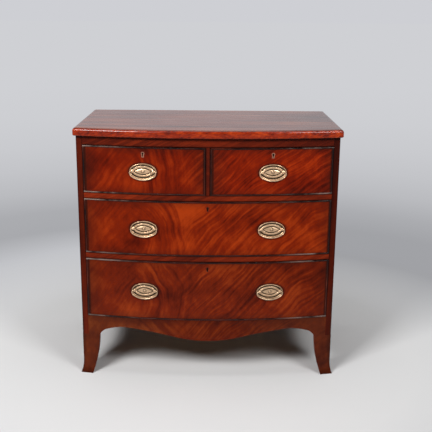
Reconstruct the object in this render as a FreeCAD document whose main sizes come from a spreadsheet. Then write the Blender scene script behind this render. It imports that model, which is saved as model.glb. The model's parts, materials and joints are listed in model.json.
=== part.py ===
"""Bow front chest of drawers, as a parametric assembly of its separate pieces.

Lengths are millimetres and angles degrees.  +Z is up, the front faces -Y and +X is to
the right of someone who faces the chest.  The origin is on the floor, at the middle of
the overall depth and width.

The front of the case, its rails, its drawer fronts and its apron are all arcs about one
upright line, the bow's axis, which stands behind the chest on the centre plane.  What is
let into the bowed front, such as a lock or a handle, is drawn on the centre plane and
then swung about that axis to its own station.
"""
import FreeCAD, Part
import math
import os
import re
import Sketcher
from FreeCAD import Placement, Rotation, Vector

UP = Vector(0, 0, 1)
REARWARDS = Vector(0, 1, 0)
TOLERANCE = 0.01
PLANKS = 4

SIZES = {
    "Top board": {
        "top_width": 920,
        "top_depth": 538,
        "top_thickness": 28,
        "overall_height": 905,
        "front_overhang": 17,
        "side_overhang": 8,
        "top_upper_round": 11,
        "top_lower_round": 5,
    },
    "Case": {
        "bow_radius": 2118,
        "side_thickness": 22,
        "side_arris": 4,
        "foot_height": 150,
        "back_inset": 4,
        "back_thickness": 9,
        "back_lap": 11,
        "plank_gap": 0.6,
        "bottom_thickness": 18,
        "housing_depth": 7,
        "rail_depth": 76,
        "tenon_depth": 18,
        "tenon_shoulder": 2,
        "post_tenon_depth": 24,
        "post_tenon_length": 6,
        "tenon_thickness": 10,
        "post_width": 15,
        "runner_width": 42,
        "centre_runner_width": 90,
        "guide_height": 24,
        "dustboard_thickness": 7,
        "dustboard_tongue": 6,
        "stop_height": 5,
        "stop_depth": 12,
        "stop_length": 44,
        "stop_gap": 0.3,
        "short_stop_station": 110,
        "long_stop_station": 130,
    },
    "Levels of the drawer openings": {
        "apron_height": 74,
        "lower_rail_low": 441.5,
        "rail_height": 21,
        "upper_rail_low": 659,
        "frieze_low": 845.5,
    },
    "Apron outline": {
        "apron_thickness": 20,
        "pendant_drop": 5.5,
        "pendant_half": 115,
        "pendant_rise": 7.5,
        "run_sag": 3,
        "arch_x": 285,
        "arch_rise": 36.5,
        "arch_sag": 3.5,
        "shoulder_x": 357,
        "shoulder_rise": 27,
        "shoulder_sag": 5,
    },
    "Feet": {
        "foot_top_width": 63,
        "foot_floor_width": 44,
        "foot_inner_sag": 6.5,
        "splay": 9.5,
        "splay_height": 46,
        "foot_thickness": 22,
        "side_foot_top": 118,
        "side_foot_floor": 52,
        "side_foot_sag": 22,
        "foot_block_width": 18,
        "foot_block_depth": 40,
        "foot_block_seat": 0.3,
        "foot_block_floor_gap": 30,
    },
    "Drawers": {
        "drawer_side_gap": 1.2,
        "drawer_top_gap": 1.5,
        "drawer_run_gap": 0.3,
        "front_thickness": 24,
        "front_lap": 9,
        "lining_thickness": 10,
        "lining_drop": 4,
        "drawer_rear": 240,
        "drawer_back_thickness": 9,
        "bottom_lift": 8,
        "drawer_bottom_thickness": 7,
        "groove_depth": 5,
        "muntin_width": 56,
        "muntin_thickness": 13,
        "tail_pitch": 52,
        "tail_narrow": 26,
        "tail_flare": 2.6,
        "back_drop": 2,
        "bottom_setback": 1,
        "muntin_lip": 1,
    },
    "Cock beads": {
        "bead_width": 4.2,
        "bead_projection": 2.6,
        "bead_depth": 7,
        "bead_round": 1.7,
    },
    "Locks": {
        "lock_width": 54,
        "lock_drop": 42,
        "lock_depth": 9,
        "lock_plate": 2,
        "bolt_width": 20,
        "bolt_thickness": 4,
        "bolt_height": 18,
        "bolt_throw": 7,
        "bolt_gap": 0.3,
        "bolt_rest": 0.3,
        "bolt_mortise_gap": 1,
        "key_drop": 22,
        "key_round": 3.2,
        "key_slot": 3.2,
        "key_slot_length": 10,
        "short_escutcheon_rim": 3,
        "long_escutcheon_rim": 1.1,
        "escutcheon_stand": 0.2,
        "escutcheon_depth": 7,
        "key_pin_radius": 1.2,
    },
    "Handles": {
        "handle_x": 221,
        "handle_below_middle": 1.8,
        "plate_half_width": 46.5,
        "plate_half_height": 27,
        "plate_thickness": 1.2,
        "rim_width": 2.6,
        "rim_rise": 1.2,
        "ring_inset": 6.5,
        "ring_width": 2.6,
        "ring_rise": 1.6,
        "eye_half_width": 29,
        "eye_half_height": 12.5,
        "eye_rise": 1.2,
        "boss_radius": 5.5,
        "boss_top_radius": 3,
        "boss_rise": 2.8,
        "post_x": 36,
        "post_radius": 4.6,
        "shank_radius": 2.6,
        "shank_gap": 0.2,
        "shank_tail": 3,
        "nut_radius": 7,
        "nut_thickness": 4,
        "nut_gap": 0.6,
        "bail_radius": 2.5,
        "bail_pin_radius": 1.9,
        "bail_pin_gap": 0.08,
        "bail_half_width": 45,
        "bail_drop": 29,
        "bail_side_radius": 17,
        "bail_elbow": 4,
        "bail_gap": 0.4,
        "bail_pin_reach": 2.8,
    },
    "Construction": {
        "overcut": 1,
        "lap": 0.1,
    },
}

DERIVED = {
    "bow_front": "front_overhang - top_depth / 2",
    "bow_centre": "bow_front + bow_radius",
    "case_half": "top_width / 2 - side_overhang",
    "inner_half": "case_half - side_thickness",
    "case_back": "top_depth / 2 - back_inset",
    "back_inner": "case_back - back_thickness",
    "case_top": "overall_height - top_thickness",
    "apron_top": "foot_height + apron_height",
    "apron_drop": "foot_height - pendant_drop",
    "pendant_edge": "foot_height + pendant_rise",
    "arch_edge": "foot_height + arch_rise",
    "shoulder_edge": "foot_height + shoulder_rise",
    "lower_rail_top": "lower_rail_low + rail_height",
    "upper_rail_top": "upper_rail_low + rail_height",
    "rail_back": "bow_front + rail_depth",
    "inner_radius": "bow_radius - front_thickness",
    "splay_radius": "(splay_height ^ 2 + splay ^ 2) / (2 * splay)",
    "pivot_out": "plate_thickness + rim_rise + bail_gap + bail_radius",
}

doc = FreeCAD.newDocument("BowFrontChest")
sheet = doc.addObject("Spreadsheet::Sheet", "Sizes")


def fill_sheet():
    """Driving sizes as plain numbers, then the few levels that follow from them."""
    row = 1
    for heading, group in SIZES.items():
        sheet.set(f"A{row}", heading)
        row += 1
        for alias, number in group.items():
            sheet.set(f"A{row}", alias)
            sheet.set(f"B{row}", str(number))
            sheet.setAlias(f"B{row}", alias)
            row += 1
    for alias, formula in DERIVED.items():
        sheet.set(f"A{row}", alias)
        sheet.set(f"B{row}", "=" + formula)
        sheet.setAlias(f"B{row}", alias)
        row += 1
    doc.recompute()


ALIASES = set(DERIVED).union(*SIZES.values())
fill_sheet()


def bound(expression):
    """The expression with every size's name pointed at its cell."""
    def point(match):
        word = match.group(0)
        return "Sizes." + word if word in ALIASES else word
    return re.sub(r"[A-Za-z_]+", point, str(expression))


def number(expression):
    """The present value of an expression of sizes."""
    result = sheet.evalExpression(bound(expression))
    return float(getattr(result, "Value", result))


def bind(item, prop, expression):
    item.setExpression(prop, bound(expression))


def new(kind, label):
    item = doc.addObject(kind, label)
    item.Label = label
    return item


# Solids ---------------------------------------------------------------------------------

def box(label, low, extent):
    """An upright block from its low corner and its extent."""
    block = new("Part::Box", label)
    for prop, expression in zip(("Length", "Width", "Height"), extent):
        bind(block, prop, expression)
    for axis, expression in zip("xyz", low):
        bind(block, f"Placement.Base.{axis}", expression)
    return block


def rod(label, radius, length, start, direction):
    """A round bar from start, along direction."""
    bar = new("Part::Cylinder", label)
    bar.Placement = Placement(Vector(), Rotation(UP, direction))
    bind(bar, "Radius", radius)
    bind(bar, "Height", length)
    for axis, expression in zip("xyz", start):
        bind(bar, f"Placement.Base.{axis}", expression)
    return bar


def cut(label, base, tools):
    """The base less everything that is let into it, one piece after another."""
    for index, tool in enumerate(tools, start=1):
        last = index == len(tools)
        item = new("Part::Cut", label if last else f"{label}_less_{index}")
        item.Base = base
        item.Tool = tool
        base = item
    return base


def fuse(label, pieces):
    item = new("Part::MultiFuse", label)
    item.Shapes = pieces
    return item


def common(label, first, second):
    item = new("Part::Common", label)
    item.Base = first
    item.Tool = second
    return item


def group(label, pieces):
    """Separate solids that share one name."""
    item = new("Part::Compound", label)
    item.Links = pieces
    return item


def mirrored(label, source):
    """The same piece on the other side of the centre plane."""
    item = new("Part::Mirroring", label)
    item.Source = source
    item.Base = Vector(0, 0, 0)
    item.Normal = Vector(1, 0, 0)
    return item


def swing(item, station, height="0"):
    """Swing a piece about the bow's axis until it stands at x = station."""
    angle = f"asin(({station}) / bow_radius)"
    item.Placement = Placement(Vector(), Rotation(UP, 1))
    bind(item, "Placement.Rotation.Angle", angle)
    bind(item, "Placement.Base.x", f"bow_centre * sin({angle})")
    bind(item, "Placement.Base.y", f"bow_centre * (1 - cos({angle}))")
    bind(item, "Placement.Base.z", height)
    return item


# Sketches -------------------------------------------------------------------------------

def new_body(label, role, offset="0"):
    """A body with one empty sketch on an origin plane, moved along the plane's normal."""
    body = new("PartDesign::Body", label)
    sketch = body.newObject("Sketcher::SketchObject", label + "_sketch")
    plane = [item for item in body.Origin.OriginFeatures if item.Role == role][0]
    sketch.AttachmentSupport = [(plane, "")]
    sketch.MapMode = "FlatFace"
    bind(sketch, "AttachmentOffset.Base.z", offset)
    return body, sketch


def pin_point(sketch, edge, end, across, along):
    """Fix one end of an edge at its two coordinates."""
    for kind, axis, expression in (("DistanceX", -2, across), ("DistanceY", -1, along)):
        distance = number(expression)
        if abs(distance) < 1e-9:
            sketch.addConstraint(Sketcher.Constraint("PointOnObject", edge, end, axis))
            continue
        index = sketch.addConstraint(Sketcher.Constraint(kind, -1, 1, edge, end, distance))
        bind(sketch, f"Constraints[{index}]", expression)


def arc_angles(circle, first, last, sag):
    """Start and end angle, anticlockwise, of the arc from first to last."""
    ends = [math.atan2(p.y - circle.Center.y, p.x - circle.Center.x) for p in (first, last)]
    if sag > 0:
        ends.reverse()
    if ends[1] < ends[0]:
        ends[1] += 2 * math.pi
    return ends


def draw_outline(sketch, corners):
    """Closed outline.  A corner is (across, along) or, before an arc, (across, along, sag)."""
    count = len(corners)
    points = [Vector(number(c[0]), number(c[1]), 0) for c in corners]
    ends = []
    for index, corner in enumerate(corners):
        here, there = points[index], points[(index + 1) % count]
        if len(corner) == 2:
            edge = sketch.addGeometry(Part.LineSegment(here, there))
            ends.append((edge, 1, 2))
            continue
        sag = number(corner[2])
        curve = Part.Arc(here, bulge_point(here, there, sag), there).toShape().Curve
        upright = Part.Circle(curve.Center, UP, curve.Radius)
        angles = arc_angles(upright, here, there, sag)
        edge = sketch.addGeometry(Part.ArcOfCircle(upright, *angles))
        ends.append((edge, 2, 1) if sag > 0 else (edge, 1, 2))
        after = corners[(index + 1) % count]
        half = f"((({after[0]}) - ({corner[0]})) ^ 2 + (({after[1]}) - ({corner[1]})) ^ 2) / 4"
        radius = f"({half} + ({corner[2]}) ^ 2) / (2 * abs({corner[2]}))"
        rule = sketch.addConstraint(Sketcher.Constraint("Radius", edge, upright.Radius))
        bind(sketch, f"Constraints[{rule}]", radius)
    for index, corner in enumerate(corners):
        edge, start, _ = ends[index]
        before, _, finish = ends[index - 1]
        sketch.addConstraint(Sketcher.Constraint("Coincident", before, finish, edge, start))
        pin_point(sketch, edge, start, corner[0], corner[1])


def bulge_point(first, last, sag):
    """The point that stands off the middle of a chord by sag, to its left."""
    chord = last - first
    left = Vector(-chord.y, chord.x, 0).normalize()
    return (first + last) / 2 + left * sag


def padded(body, sketch, length, reverse=False):
    pad = body.newObject("PartDesign::Pad", body.Label + "_pad")
    pad.Profile = sketch
    pad.Reversed = reverse
    bind(pad, "Length", length)
    sketch.Visibility = False
    return body


def plate_along_x(label, corners, low, width):
    """A side elevation, drawn as (y, z), padded from x = low."""
    body, sketch = new_body(label, "YZ_Plane", low)
    draw_outline(sketch, corners)
    return padded(body, sketch, width)


def plate_along_y(label, corners, low, depth):
    """A front elevation, drawn as (x, z), padded backwards from y = low."""
    body, sketch = new_body(label, "XZ_Plane", f"-({low})")
    draw_outline(sketch, corners)
    return padded(body, sketch, depth, reverse=True)


def bowed(label, left, right, low, high, front, back_radius=None, back=None):
    """A board whose plan is an arc in front, between two planes of constant x.

    Its rear is a second arc about the bow's axis, or a straight line at y = back.
    """
    body, sketch = new_body(label, "XY_Plane", low)
    centre = number("bow_centre")
    sides = [number(left), number(right)]
    arcs = []
    for expression in (front, back_radius) if back_radius else (front,):
        radius = number(expression)
        circle = Part.Circle(Vector(0, centre, 0), UP, radius)
        angles = [-math.pi / 2 + math.asin(x / radius) for x in sides]
        edge = sketch.addGeometry(Part.ArcOfCircle(circle, *angles))
        sketch.addConstraint(Sketcher.Constraint("PointOnObject", edge, 3, -2))
        rules = (("Radius", (edge,), expression, radius),
                 ("DistanceY", (-1, 1, edge, 3), "bow_centre", centre))
        for kind, where, text, value in rules:
            rule = sketch.addConstraint(Sketcher.Constraint(kind, *where, value))
            bind(sketch, f"Constraints[{rule}]", text)
        arcs.append(edge)
    fronts = [point_on_bow(x, number(front)) for x in sides]
    if back_radius:
        rears = [point_on_bow(x, number(back_radius)) for x in sides]
    else:
        rears = [Vector(x, number(back), 0) for x in sides]
        arcs.append(sketch.addGeometry(Part.LineSegment(*rears)))
        sketch.addConstraint(Sketcher.Constraint("Horizontal", arcs[1]))
        pin_point(sketch, arcs[1], 1, left, back)
    for end, (x_text, near, far) in enumerate(zip((left, right), fronts, rears), start=1):
        line = sketch.addGeometry(Part.LineSegment(near, far))
        sketch.addConstraint(Sketcher.Constraint("Coincident", arcs[0], end, line, 1))
        sketch.addConstraint(Sketcher.Constraint("Coincident", arcs[1], end, line, 2))
        sketch.addConstraint(Sketcher.Constraint("Vertical", line))
        if back_radius or end == 2:
            rule = Sketcher.Constraint("DistanceX", -1, 1, line, 1, near.x)
            index = sketch.addConstraint(rule)
            bind(sketch, f"Constraints[{index}]", x_text)
    return padded(body, sketch, f"({high}) - ({low})")


def point_on_bow(x, radius):
    """The point at x on an arc about the bow's axis, in plan."""
    return Vector(x, number("bow_centre") - math.sqrt(radius ** 2 - x ** 2), 0)


def rounded(body, radius, wanted):
    """Round the edges of a body whose middle point passes the test."""
    solid = body.Tip
    doc.recompute([solid.Profile[0], solid] if hasattr(solid, "Profile") else [solid])
    names = [f"Edge{index}" for index, edge in enumerate(solid.Shape.Edges, start=1)
             if wanted(edge.valueAt((edge.FirstParameter + edge.LastParameter) / 2))]
    fillet = body.newObject("PartDesign::Fillet", body.Label + "_round")
    fillet.Base = (solid, names)
    bind(fillet, "Radius", radius)
    body.Tip = fillet
    return body


def near(first, second):
    return abs(first - second) < TOLERANCE


# Case -----------------------------------------------------------------------------------

def make_top():
    """One board with a bowed front, rounded more above than below, square at the back."""
    top = bowed("top", "-top_width / 2", "top_width / 2", "case_top", "overall_height",
                front="bow_radius + front_overhang", back="top_depth / 2")
    rear, upper, lower = number("top_depth / 2"), number("overall_height"), number("case_top")
    rounded(top, "top_upper_round", lambda p: near(p.z, upper) and not near(p.y, rear))
    rounded(top, "top_lower_round", lambda p: near(p.z, lower) and not near(p.y, rear))
    return top


def make_rail(label, low, high):
    """A bowed rail with a stub tenon at each end."""
    rail = bowed(label + "_bar", "-inner_half", "inner_half", low, high,
                 front="bow_radius", back="rail_back")
    tenon = box(label + "_tenons",
                ("-inner_half - housing_depth", "rail_back - tenon_shoulder - tenon_depth",
                 f"({low} + {high} - tenon_thickness) / 2"),
                ("2 * (inner_half + housing_depth)", "tenon_depth", "tenon_thickness"))
    return fuse(label + "_blank", [rail, tenon])


def make_back_boards():
    """Four upright planks in the rebates of the sides."""
    planks = []
    span = "(2 * (inner_half + back_lap))"
    for index in range(PLANKS):
        planks.append(box(
            f"back_plank_{index}",
            (f"-{span} / 2 + {span} / {PLANKS} * {index} + plank_gap / 2", "back_inner",
             "apron_top - bottom_thickness"),
            (f"{span} / {PLANKS} - plank_gap", "back_thickness",
             "case_top - apron_top + bottom_thickness")))
    return group("back_boards", planks)


def make_side(fittings):
    """The right side: bowed front edge, soft outer arris, housings for what it holds."""
    side = bowed("side_board", "inner_half", "case_half", "foot_height", "case_top",
                 front="bow_radius", back="case_back")
    outer, low, high = number("case_half"), number("foot_height"), number("case_top")
    rounded(side, "side_arris",
            lambda p: near(p.x, outer) and p.y < 0 and not near(p.z, low) and not near(p.z, high))
    return cut("right_side", side, fittings)


def make_stops():
    """Small blocks that each drawer front closes against."""
    stops = []
    rows = (("short", "upper_rail_top", "short_stop_station"),
            ("middle", "lower_rail_top", "long_stop_station"),
            ("bottom", "apron_top", "long_stop_station"))
    for name, low, station in rows:
        for side, centre in (("left", f"-{station}"), ("right", station)):
            stops.append(bowed(
                f"stop_{name}_{side}", f"{centre} - stop_length / 2",
                f"{centre} + stop_length / 2", low, f"{low} + stop_height",
                front="inner_radius - stop_gap",
                back_radius="inner_radius - stop_gap - stop_depth"))
    return group("drawer_stops", stops)


def make_inner_frame():
    """Runners, guide, kickers and dustboards behind the rails."""
    length = "back_inner - rail_back"
    boards, runners = [], []
    for name, low in (("upper", "upper_rail_low"), ("lower", "lower_rail_low")):
        for side, x in (("left", "-inner_half"), ("right", "inner_half - runner_width")):
            runners.append(box(f"{name}_{side}_runner", (x, "rail_back", low),
                               ("runner_width", length, "rail_height")))
    runners.append(box("centre_runner", ("-centre_runner_width / 2", "rail_back",
                                         "upper_rail_low"),
                       ("centre_runner_width", length, "rail_height")))
    level = "(rail_height - dustboard_thickness) / 2"
    reach = "inner_half - runner_width + dustboard_tongue"
    inner = "centre_runner_width / 2 - dustboard_tongue"
    spans = (("upper_left", "upper_rail_low", f"-({reach})", f"{reach} - ({inner})"),
             ("upper_right", "upper_rail_low", inner, f"{reach} - ({inner})"),
             ("lower", "lower_rail_low", f"-({reach})", f"2 * ({reach})"))
    for name, low, start, width in spans:
        boards.append(box(f"{name}_dustboard",
                          (start, "rail_back - dustboard_tongue", f"{low} + {level}"),
                          (width, f"{length} + dustboard_tongue", "dustboard_thickness")))
    dustboards = group("dustboards", boards)
    grooved = [cut(item.Label + "_grooved", item, [dustboards]) for item in runners]
    guide = box("centre_guide", ("-post_width / 2", "rail_back", "upper_rail_top"),
                ("post_width", length, "guide_height"))
    kickers = []
    for name, x, width in (("left", "-inner_half", "runner_width"),
                           ("centre", "-centre_runner_width / 2", "centre_runner_width"),
                           ("right", "inner_half - runner_width", "runner_width")):
        kickers.append(box(f"{name}_kicker", (x, "rail_back", "frieze_low"),
                           (width, length, "case_top - frieze_low")))
    return dustboards, group("drawer_runners", grooved + [guide]), group("kickers", kickers)


def make_apron():
    """Bowed apron: a broad pendant, then an arch and a round shoulder on each side."""
    blank = bowed("apron_blank", "-inner_half", "inner_half", "apron_drop", "apron_top",
                  front="bow_radius", back_radius="bow_radius - apron_thickness")
    points = [("pendant_half", "pendant_edge"), ("arch_x", "arch_edge"),
              ("shoulder_x", "shoulder_edge"), ("case_half - foot_top_width", "foot_height")]
    sags = ["run_sag", "arch_sag", "shoulder_sag"]
    right = [point + (sag,) for point, sag in zip(points, sags)] + [points[-1]]
    left = [(f"-({x})", z, sag) for (x, z), sag in
            zip(reversed(points), sags[::-1] + ["apron_drop - pendant_edge"])]
    past = "inner_half + apron_thickness"
    outline = [(f"-({past})", "foot_height")] + left + right + [
        (past, "foot_height"), (past, "apron_top"), (f"-({past})", "apron_top")]
    profile = plate_along_y("apron_outline", outline, "bow_front - apron_thickness",
                            "rail_depth + 2 * apron_thickness")
    return common("apron", blank, profile)


def splayed_section(face, back, sign):
    """Foot section, as (across, z): straight, then swept outwards to the floor.

    Outwards is +sign of the axis across, and the sweep is an arc that leaves upright.
    """
    chord = "sqrt(splay_height ^ 2 + splay ^ 2)"
    sag = f"{sign} * (splay_radius - sqrt(splay_radius ^ 2 - ({chord} / 2) ^ 2))"
    return [(back, "foot_height"), (back, "0"), (f"{face} + {sign} * splay", "0", sag),
            (face, "splay_height"), (face, "foot_height")]


def make_front_foot():
    """Right front foot: bowed front bracket, side bracket and the block behind them."""
    section_body, section = new_body("front_bracket_sweep", "YZ_Plane")
    draw_outline(section, splayed_section("bow_front", "bow_front + foot_thickness", -1))
    sweep = new("Part::Revolution", "front_bracket_ring")
    sweep.Source = section
    sweep.Axis = UP
    sweep.Solid = True
    bind(sweep, "Base.y", "bow_centre")
    bind(sweep, "Angle", "asin((top_width / 2 + 2 * splay) / bow_radius)")
    inner_top = ("case_half - foot_top_width", "foot_height")
    inner_floor = ("case_half + splay - foot_floor_width", "0")
    chord = "sqrt(splay_height ^ 2 + splay ^ 2)"
    sag = f"splay_radius - sqrt(splay_radius ^ 2 - ({chord} / 2) ^ 2)"
    outline = [inner_top + ("-foot_inner_sag",), inner_floor, ("case_half + splay", "0", sag),
               ("case_half", "splay_height"), ("case_half", "foot_height")]
    front = common("front_bracket", sweep, plate_along_y(
        "front_bracket_outline", outline, "bow_front - 2 * splay",
        "rail_depth + 2 * foot_thickness"))
    side = side_bracket("front_side_bracket", "bow_front", 1)
    side = cut("front_side_bracket_fitted", side, [front_wedge()])
    start = "bow_centre - sqrt((bow_radius - foot_thickness) ^ 2 - (case_half - foot_thickness) ^ 2)"
    block = box("front_foot_block",
                ("case_half - foot_thickness - foot_block_width", f"{start} + foot_block_seat",
                 "foot_block_floor_gap"),
                ("foot_block_width", "foot_block_depth", "foot_height - foot_block_floor_gap"))
    return group("right_front_foot", [front, side, block])


def front_wedge():
    """Everything in front of the front bracket's rear face, for the side bracket's butt."""
    ring = new("Part::Cylinder", "behind_front_bracket")
    bind(ring, "Radius", "bow_radius - foot_thickness")
    bind(ring, "Height", "foot_height")
    bind(ring, "Placement.Base.y", "bow_centre")
    slab = box("front_slab", ("0", "bow_front - rail_depth", "0"),
               ("top_width", "3 * rail_depth", "foot_height"))
    return cut("front_wedge", slab, [ring])


def side_bracket(label, near_y, towards):
    """Side bracket: splayed in section, with a curved inner edge in side elevation."""
    body, sketch = new_body(label + "_section", "XZ_Plane", "rail_depth - bow_front")
    section = splayed_section("case_half", "case_half - foot_thickness", 1)
    draw_outline(sketch, section)
    padded(body, sketch, "top_depth + 2 * rail_depth", reverse=True)
    if towards > 0:
        corner = "bow_centre - sqrt(bow_radius ^ 2 - case_half ^ 2)"
        outline = [(f"{near_y} - 2 * splay", "0"), (f"{near_y} - 2 * splay", "foot_height"),
                   (f"{corner} + side_foot_top", "foot_height", "-side_foot_sag"),
                   (f"{corner} + side_foot_floor", "0")]
    else:
        outline = [("case_back", "0"), ("case_back", "foot_height"),
                   ("case_back - side_foot_top", "foot_height", "side_foot_sag"),
                   ("case_back - side_foot_floor", "0")]
    profile = plate_along_x(label + "_outline", outline, "case_half - 2 * foot_thickness",
                            "4 * foot_thickness")
    return common(label, body, profile)


def make_rear_foot():
    """Right rear foot: splayed side bracket, plain rear bracket and the block."""
    side = side_bracket("rear_side_bracket", "case_back", -1)
    outline = [("case_half - foot_thickness", "0"), ("case_half - foot_thickness", "foot_height"),
               ("case_half - side_foot_top", "foot_height", "side_foot_sag"),
               ("case_half - side_foot_floor - foot_thickness", "0")]
    rear = plate_along_y("rear_bracket", outline, "case_back - foot_thickness",
                         "foot_thickness")
    block = box("rear_foot_block",
                ("case_half - foot_thickness - foot_block_width",
                 "case_back - foot_thickness - foot_block_depth", "foot_block_floor_gap"),
                ("foot_block_width", "foot_block_depth", "foot_height - foot_block_floor_gap"))
    return group("right_rear_foot", [side, rear, block])


# Drawers --------------------------------------------------------------------------------

def make_beads(name, left, right, low, high):
    """Four strips let into the edges of the front, standing a little proud, noses round."""
    reach = {"front": "bow_radius + bead_projection", "back_radius": "bow_radius - bead_depth"}
    runs = (("top", left, right, f"{high} - bead_width", high),
            ("low", left, right, low, f"{low} + bead_width"),
            ("left", left, f"{left} + bead_width", f"{low} + bead_width", f"{high} - bead_width"),
            ("right", f"{right} - bead_width", right, f"{low} + bead_width",
             f"{high} - bead_width"))
    strips = []
    proud = number("bow_radius + bead_projection")
    axis = number("bow_centre")
    for where, x_low, x_high, z_low, z_high in runs:
        strip = bowed(f"{name}_{where}_bead", x_low, x_high, z_low, z_high, **reach)
        levels = (number(z_low), number(z_high))

        def on_nose(point, upright=where in ("left", "right"), levels=levels):
            out = near(math.hypot(point.x, point.y - axis), proud)
            at_end = any(near(point.z, level) for level in levels)
            return out and at_end != upright
        strips.append(rounded(strip, "bead_round", on_nose))
    return group(f"{name}_cockbeads", strips)


def tail_waste(name, x, low, high, tip, root, towards):
    """The gaps between the tails at one end of a drawer side, as wedges along x.

    Tails are wide at their tip and narrow at their root, so the gaps are the opposite.
    """
    tails = max(2, round((number(high) - number(low)) / number("tail_pitch")))
    pitch = f"(({high}) - ({low})) / {tails}"
    wedges = []
    for index in range(tails + 1):
        middle = f"{low} + {pitch} * {index}"
        gap_root = f"({pitch} - tail_narrow) / 2"
        gap_tip = f"({gap_root} - tail_flare)"
        outline = [(tip, f"{middle} - {gap_tip}"), (root, f"{middle} - {gap_root}"),
                   (root, f"{middle} + {gap_root}"), (tip, f"{middle} + {gap_tip}")]
        if towards < 0:
            outline.reverse()
        wedges.append(plate_along_x(f"{name}_wedge_{index}", outline, f"{x} - overcut",
                                    "lining_thickness + 2 * overcut"))
    return group(f"{name}_wedges", wedges)


def make_drawer_side(name, left, low, high, ring, rear_bar):
    """One side of a drawer with tails at both ends, and the room its tails take in front."""
    outer = f"max(abs({left}); abs({left} + lining_thickness))"
    face = f"(bow_centre - sqrt(bow_radius ^ 2 - ({outer}) ^ 2))"
    tip = f"{face} + front_lap"
    blank = box(f"{name}_blank", (left, tip, low),
                ("lining_thickness", f"drawer_rear - ({tip})", f"({high}) - ({low})"))
    front_waste = tail_waste(f"{name}_front", left, low, high, f"{tip} - overcut",
                             f"{face} + front_thickness + lining_thickness / 2", 1)
    rear_waste = tail_waste(f"{name}_rear", left, low, high, "drawer_rear + overcut",
                            "drawer_rear - drawer_back_thickness - overcut", -1)
    waste = [common(f"{name}_front_pins", front_waste, ring),
             common(f"{name}_rear_pins", rear_waste, rear_bar)]
    zone = box(f"{name}_tail_zone", (left, tip, low),
               ("lining_thickness", "front_thickness + 2 * overcut - front_lap",
                f"({high}) - ({low})"))
    return cut(f"{name}_tailed", blank, waste), cut(f"{name}_sockets", zone, [front_waste])


def keyhole(name, growth, start, depth, centre_z):
    """Round-topped keyhole on the centre plane, grown all round by growth."""
    eye = rod(f"{name}_eye", f"key_round + {growth}", depth, ("0", start, centre_z), REARWARDS)
    slot = box(f"{name}_slot",
               (f"-key_slot / 2 - {growth}", start, f"{centre_z} - key_slot_length - {growth}"),
               (f"key_slot + 2 * {growth}", depth, f"key_slot_length + {growth}"))
    return fuse(f"{name}_hole", [eye, slot])


def make_lock(name, station, top, rim):
    """Lock let into the back of the front, its bolt, and the rim of the keyhole.

    Heights are measured from the top edge of the drawer front.
    """
    inside = "bow_front + front_thickness"
    bolt_face = f"{inside} - (lock_depth + bolt_thickness) / 2"
    case = box(f"{name}_lock_case", ("-lock_width / 2", f"{inside} - lock_depth", "-lock_drop"),
               ("lock_width", "lock_depth", "lock_drop"))
    slot = box(f"{name}_bolt_way",
               ("-bolt_width / 2 - bolt_gap", f"{bolt_face} - bolt_gap",
                "-bolt_height - bolt_rest - bolt_gap"),
               ("bolt_width + 2 * bolt_gap", "bolt_thickness + 2 * bolt_gap",
                "bolt_height + bolt_rest + bolt_gap + overcut"))
    throat = keyhole(f"{name}_throat", "0", f"{inside} - lock_depth - overcut",
                     "lock_depth + overcut - lock_plate", "-key_drop")
    pin = rod(f"{name}_key_pin", "key_pin_radius", "front_thickness - escutcheon_depth",
              ("0", "bow_front + escutcheon_depth", "-key_drop"), REARWARDS)
    body = fuse(f"{name}_lock_body", [cut(f"{name}_lock_shell", case, [slot, throat]), pin])
    room = box(f"{name}_lock_pocket",
               ("-lock_width / 2", f"{inside} - lock_depth", "-lock_drop"),
               ("lock_width", "2 * lock_depth", "2 * lock_drop"))
    outer = keyhole(f"{name}_rim", rim, "bow_front - escutcheon_stand", "escutcheon_depth",
                    "-key_drop")
    hole = keyhole(f"{name}_key", "0", "bow_front - overcut", "front_thickness", "-key_drop")
    escutcheon = cut(f"{name}_escutcheon", outer, [hole])
    bolt = box(f"{name}_bolt", ("-bolt_width / 2", bolt_face, "-bolt_height - bolt_rest"),
               ("bolt_width", "bolt_thickness", "bolt_height"))
    mortise = box(f"{name}_mortise",
                  ("-bolt_width / 2 - bolt_mortise_gap", f"{bolt_face} - bolt_mortise_gap", "0"),
                  ("bolt_width + 2 * bolt_mortise_gap", "bolt_thickness + 2 * bolt_mortise_gap",
                   "bolt_throw + drawer_top_gap + bolt_mortise_gap"))
    lock = swing(group(f"{name}_lock", [body, escutcheon]), station, top)
    moved_bolt = swing(group(f"{name}_lock_bolt", [bolt]), station, top)
    waste = swing(group(f"{name}_lock_waste", [fuse(f"{name}_lock_room", [room, outer, hole])]),
                  station, top)
    keeper = swing(group(f"{name}_keeper", [mortise]), station, top)
    return lock, moved_bolt, waste, keeper


def oval(label, half_width, half_height, start, depth):
    """An oval pad whose face looks forwards."""
    ring = new("Part::Ellipse", label + "_edge")
    bind(ring, "MajorRadius", half_width)
    bind(ring, "MinorRadius", half_height)
    ring.Placement = Placement(Vector(), Rotation(Vector(1, 0, 0), 90))
    bind(ring, "Placement.Base.y", start)
    pad = new("Part::Extrusion", label)
    pad.Base = ring
    pad.DirMode = "Custom"
    pad.Dir = Vector(0, 1, 0)
    pad.Solid = True
    bind(pad, "LengthFwd", depth)
    return pad


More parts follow.
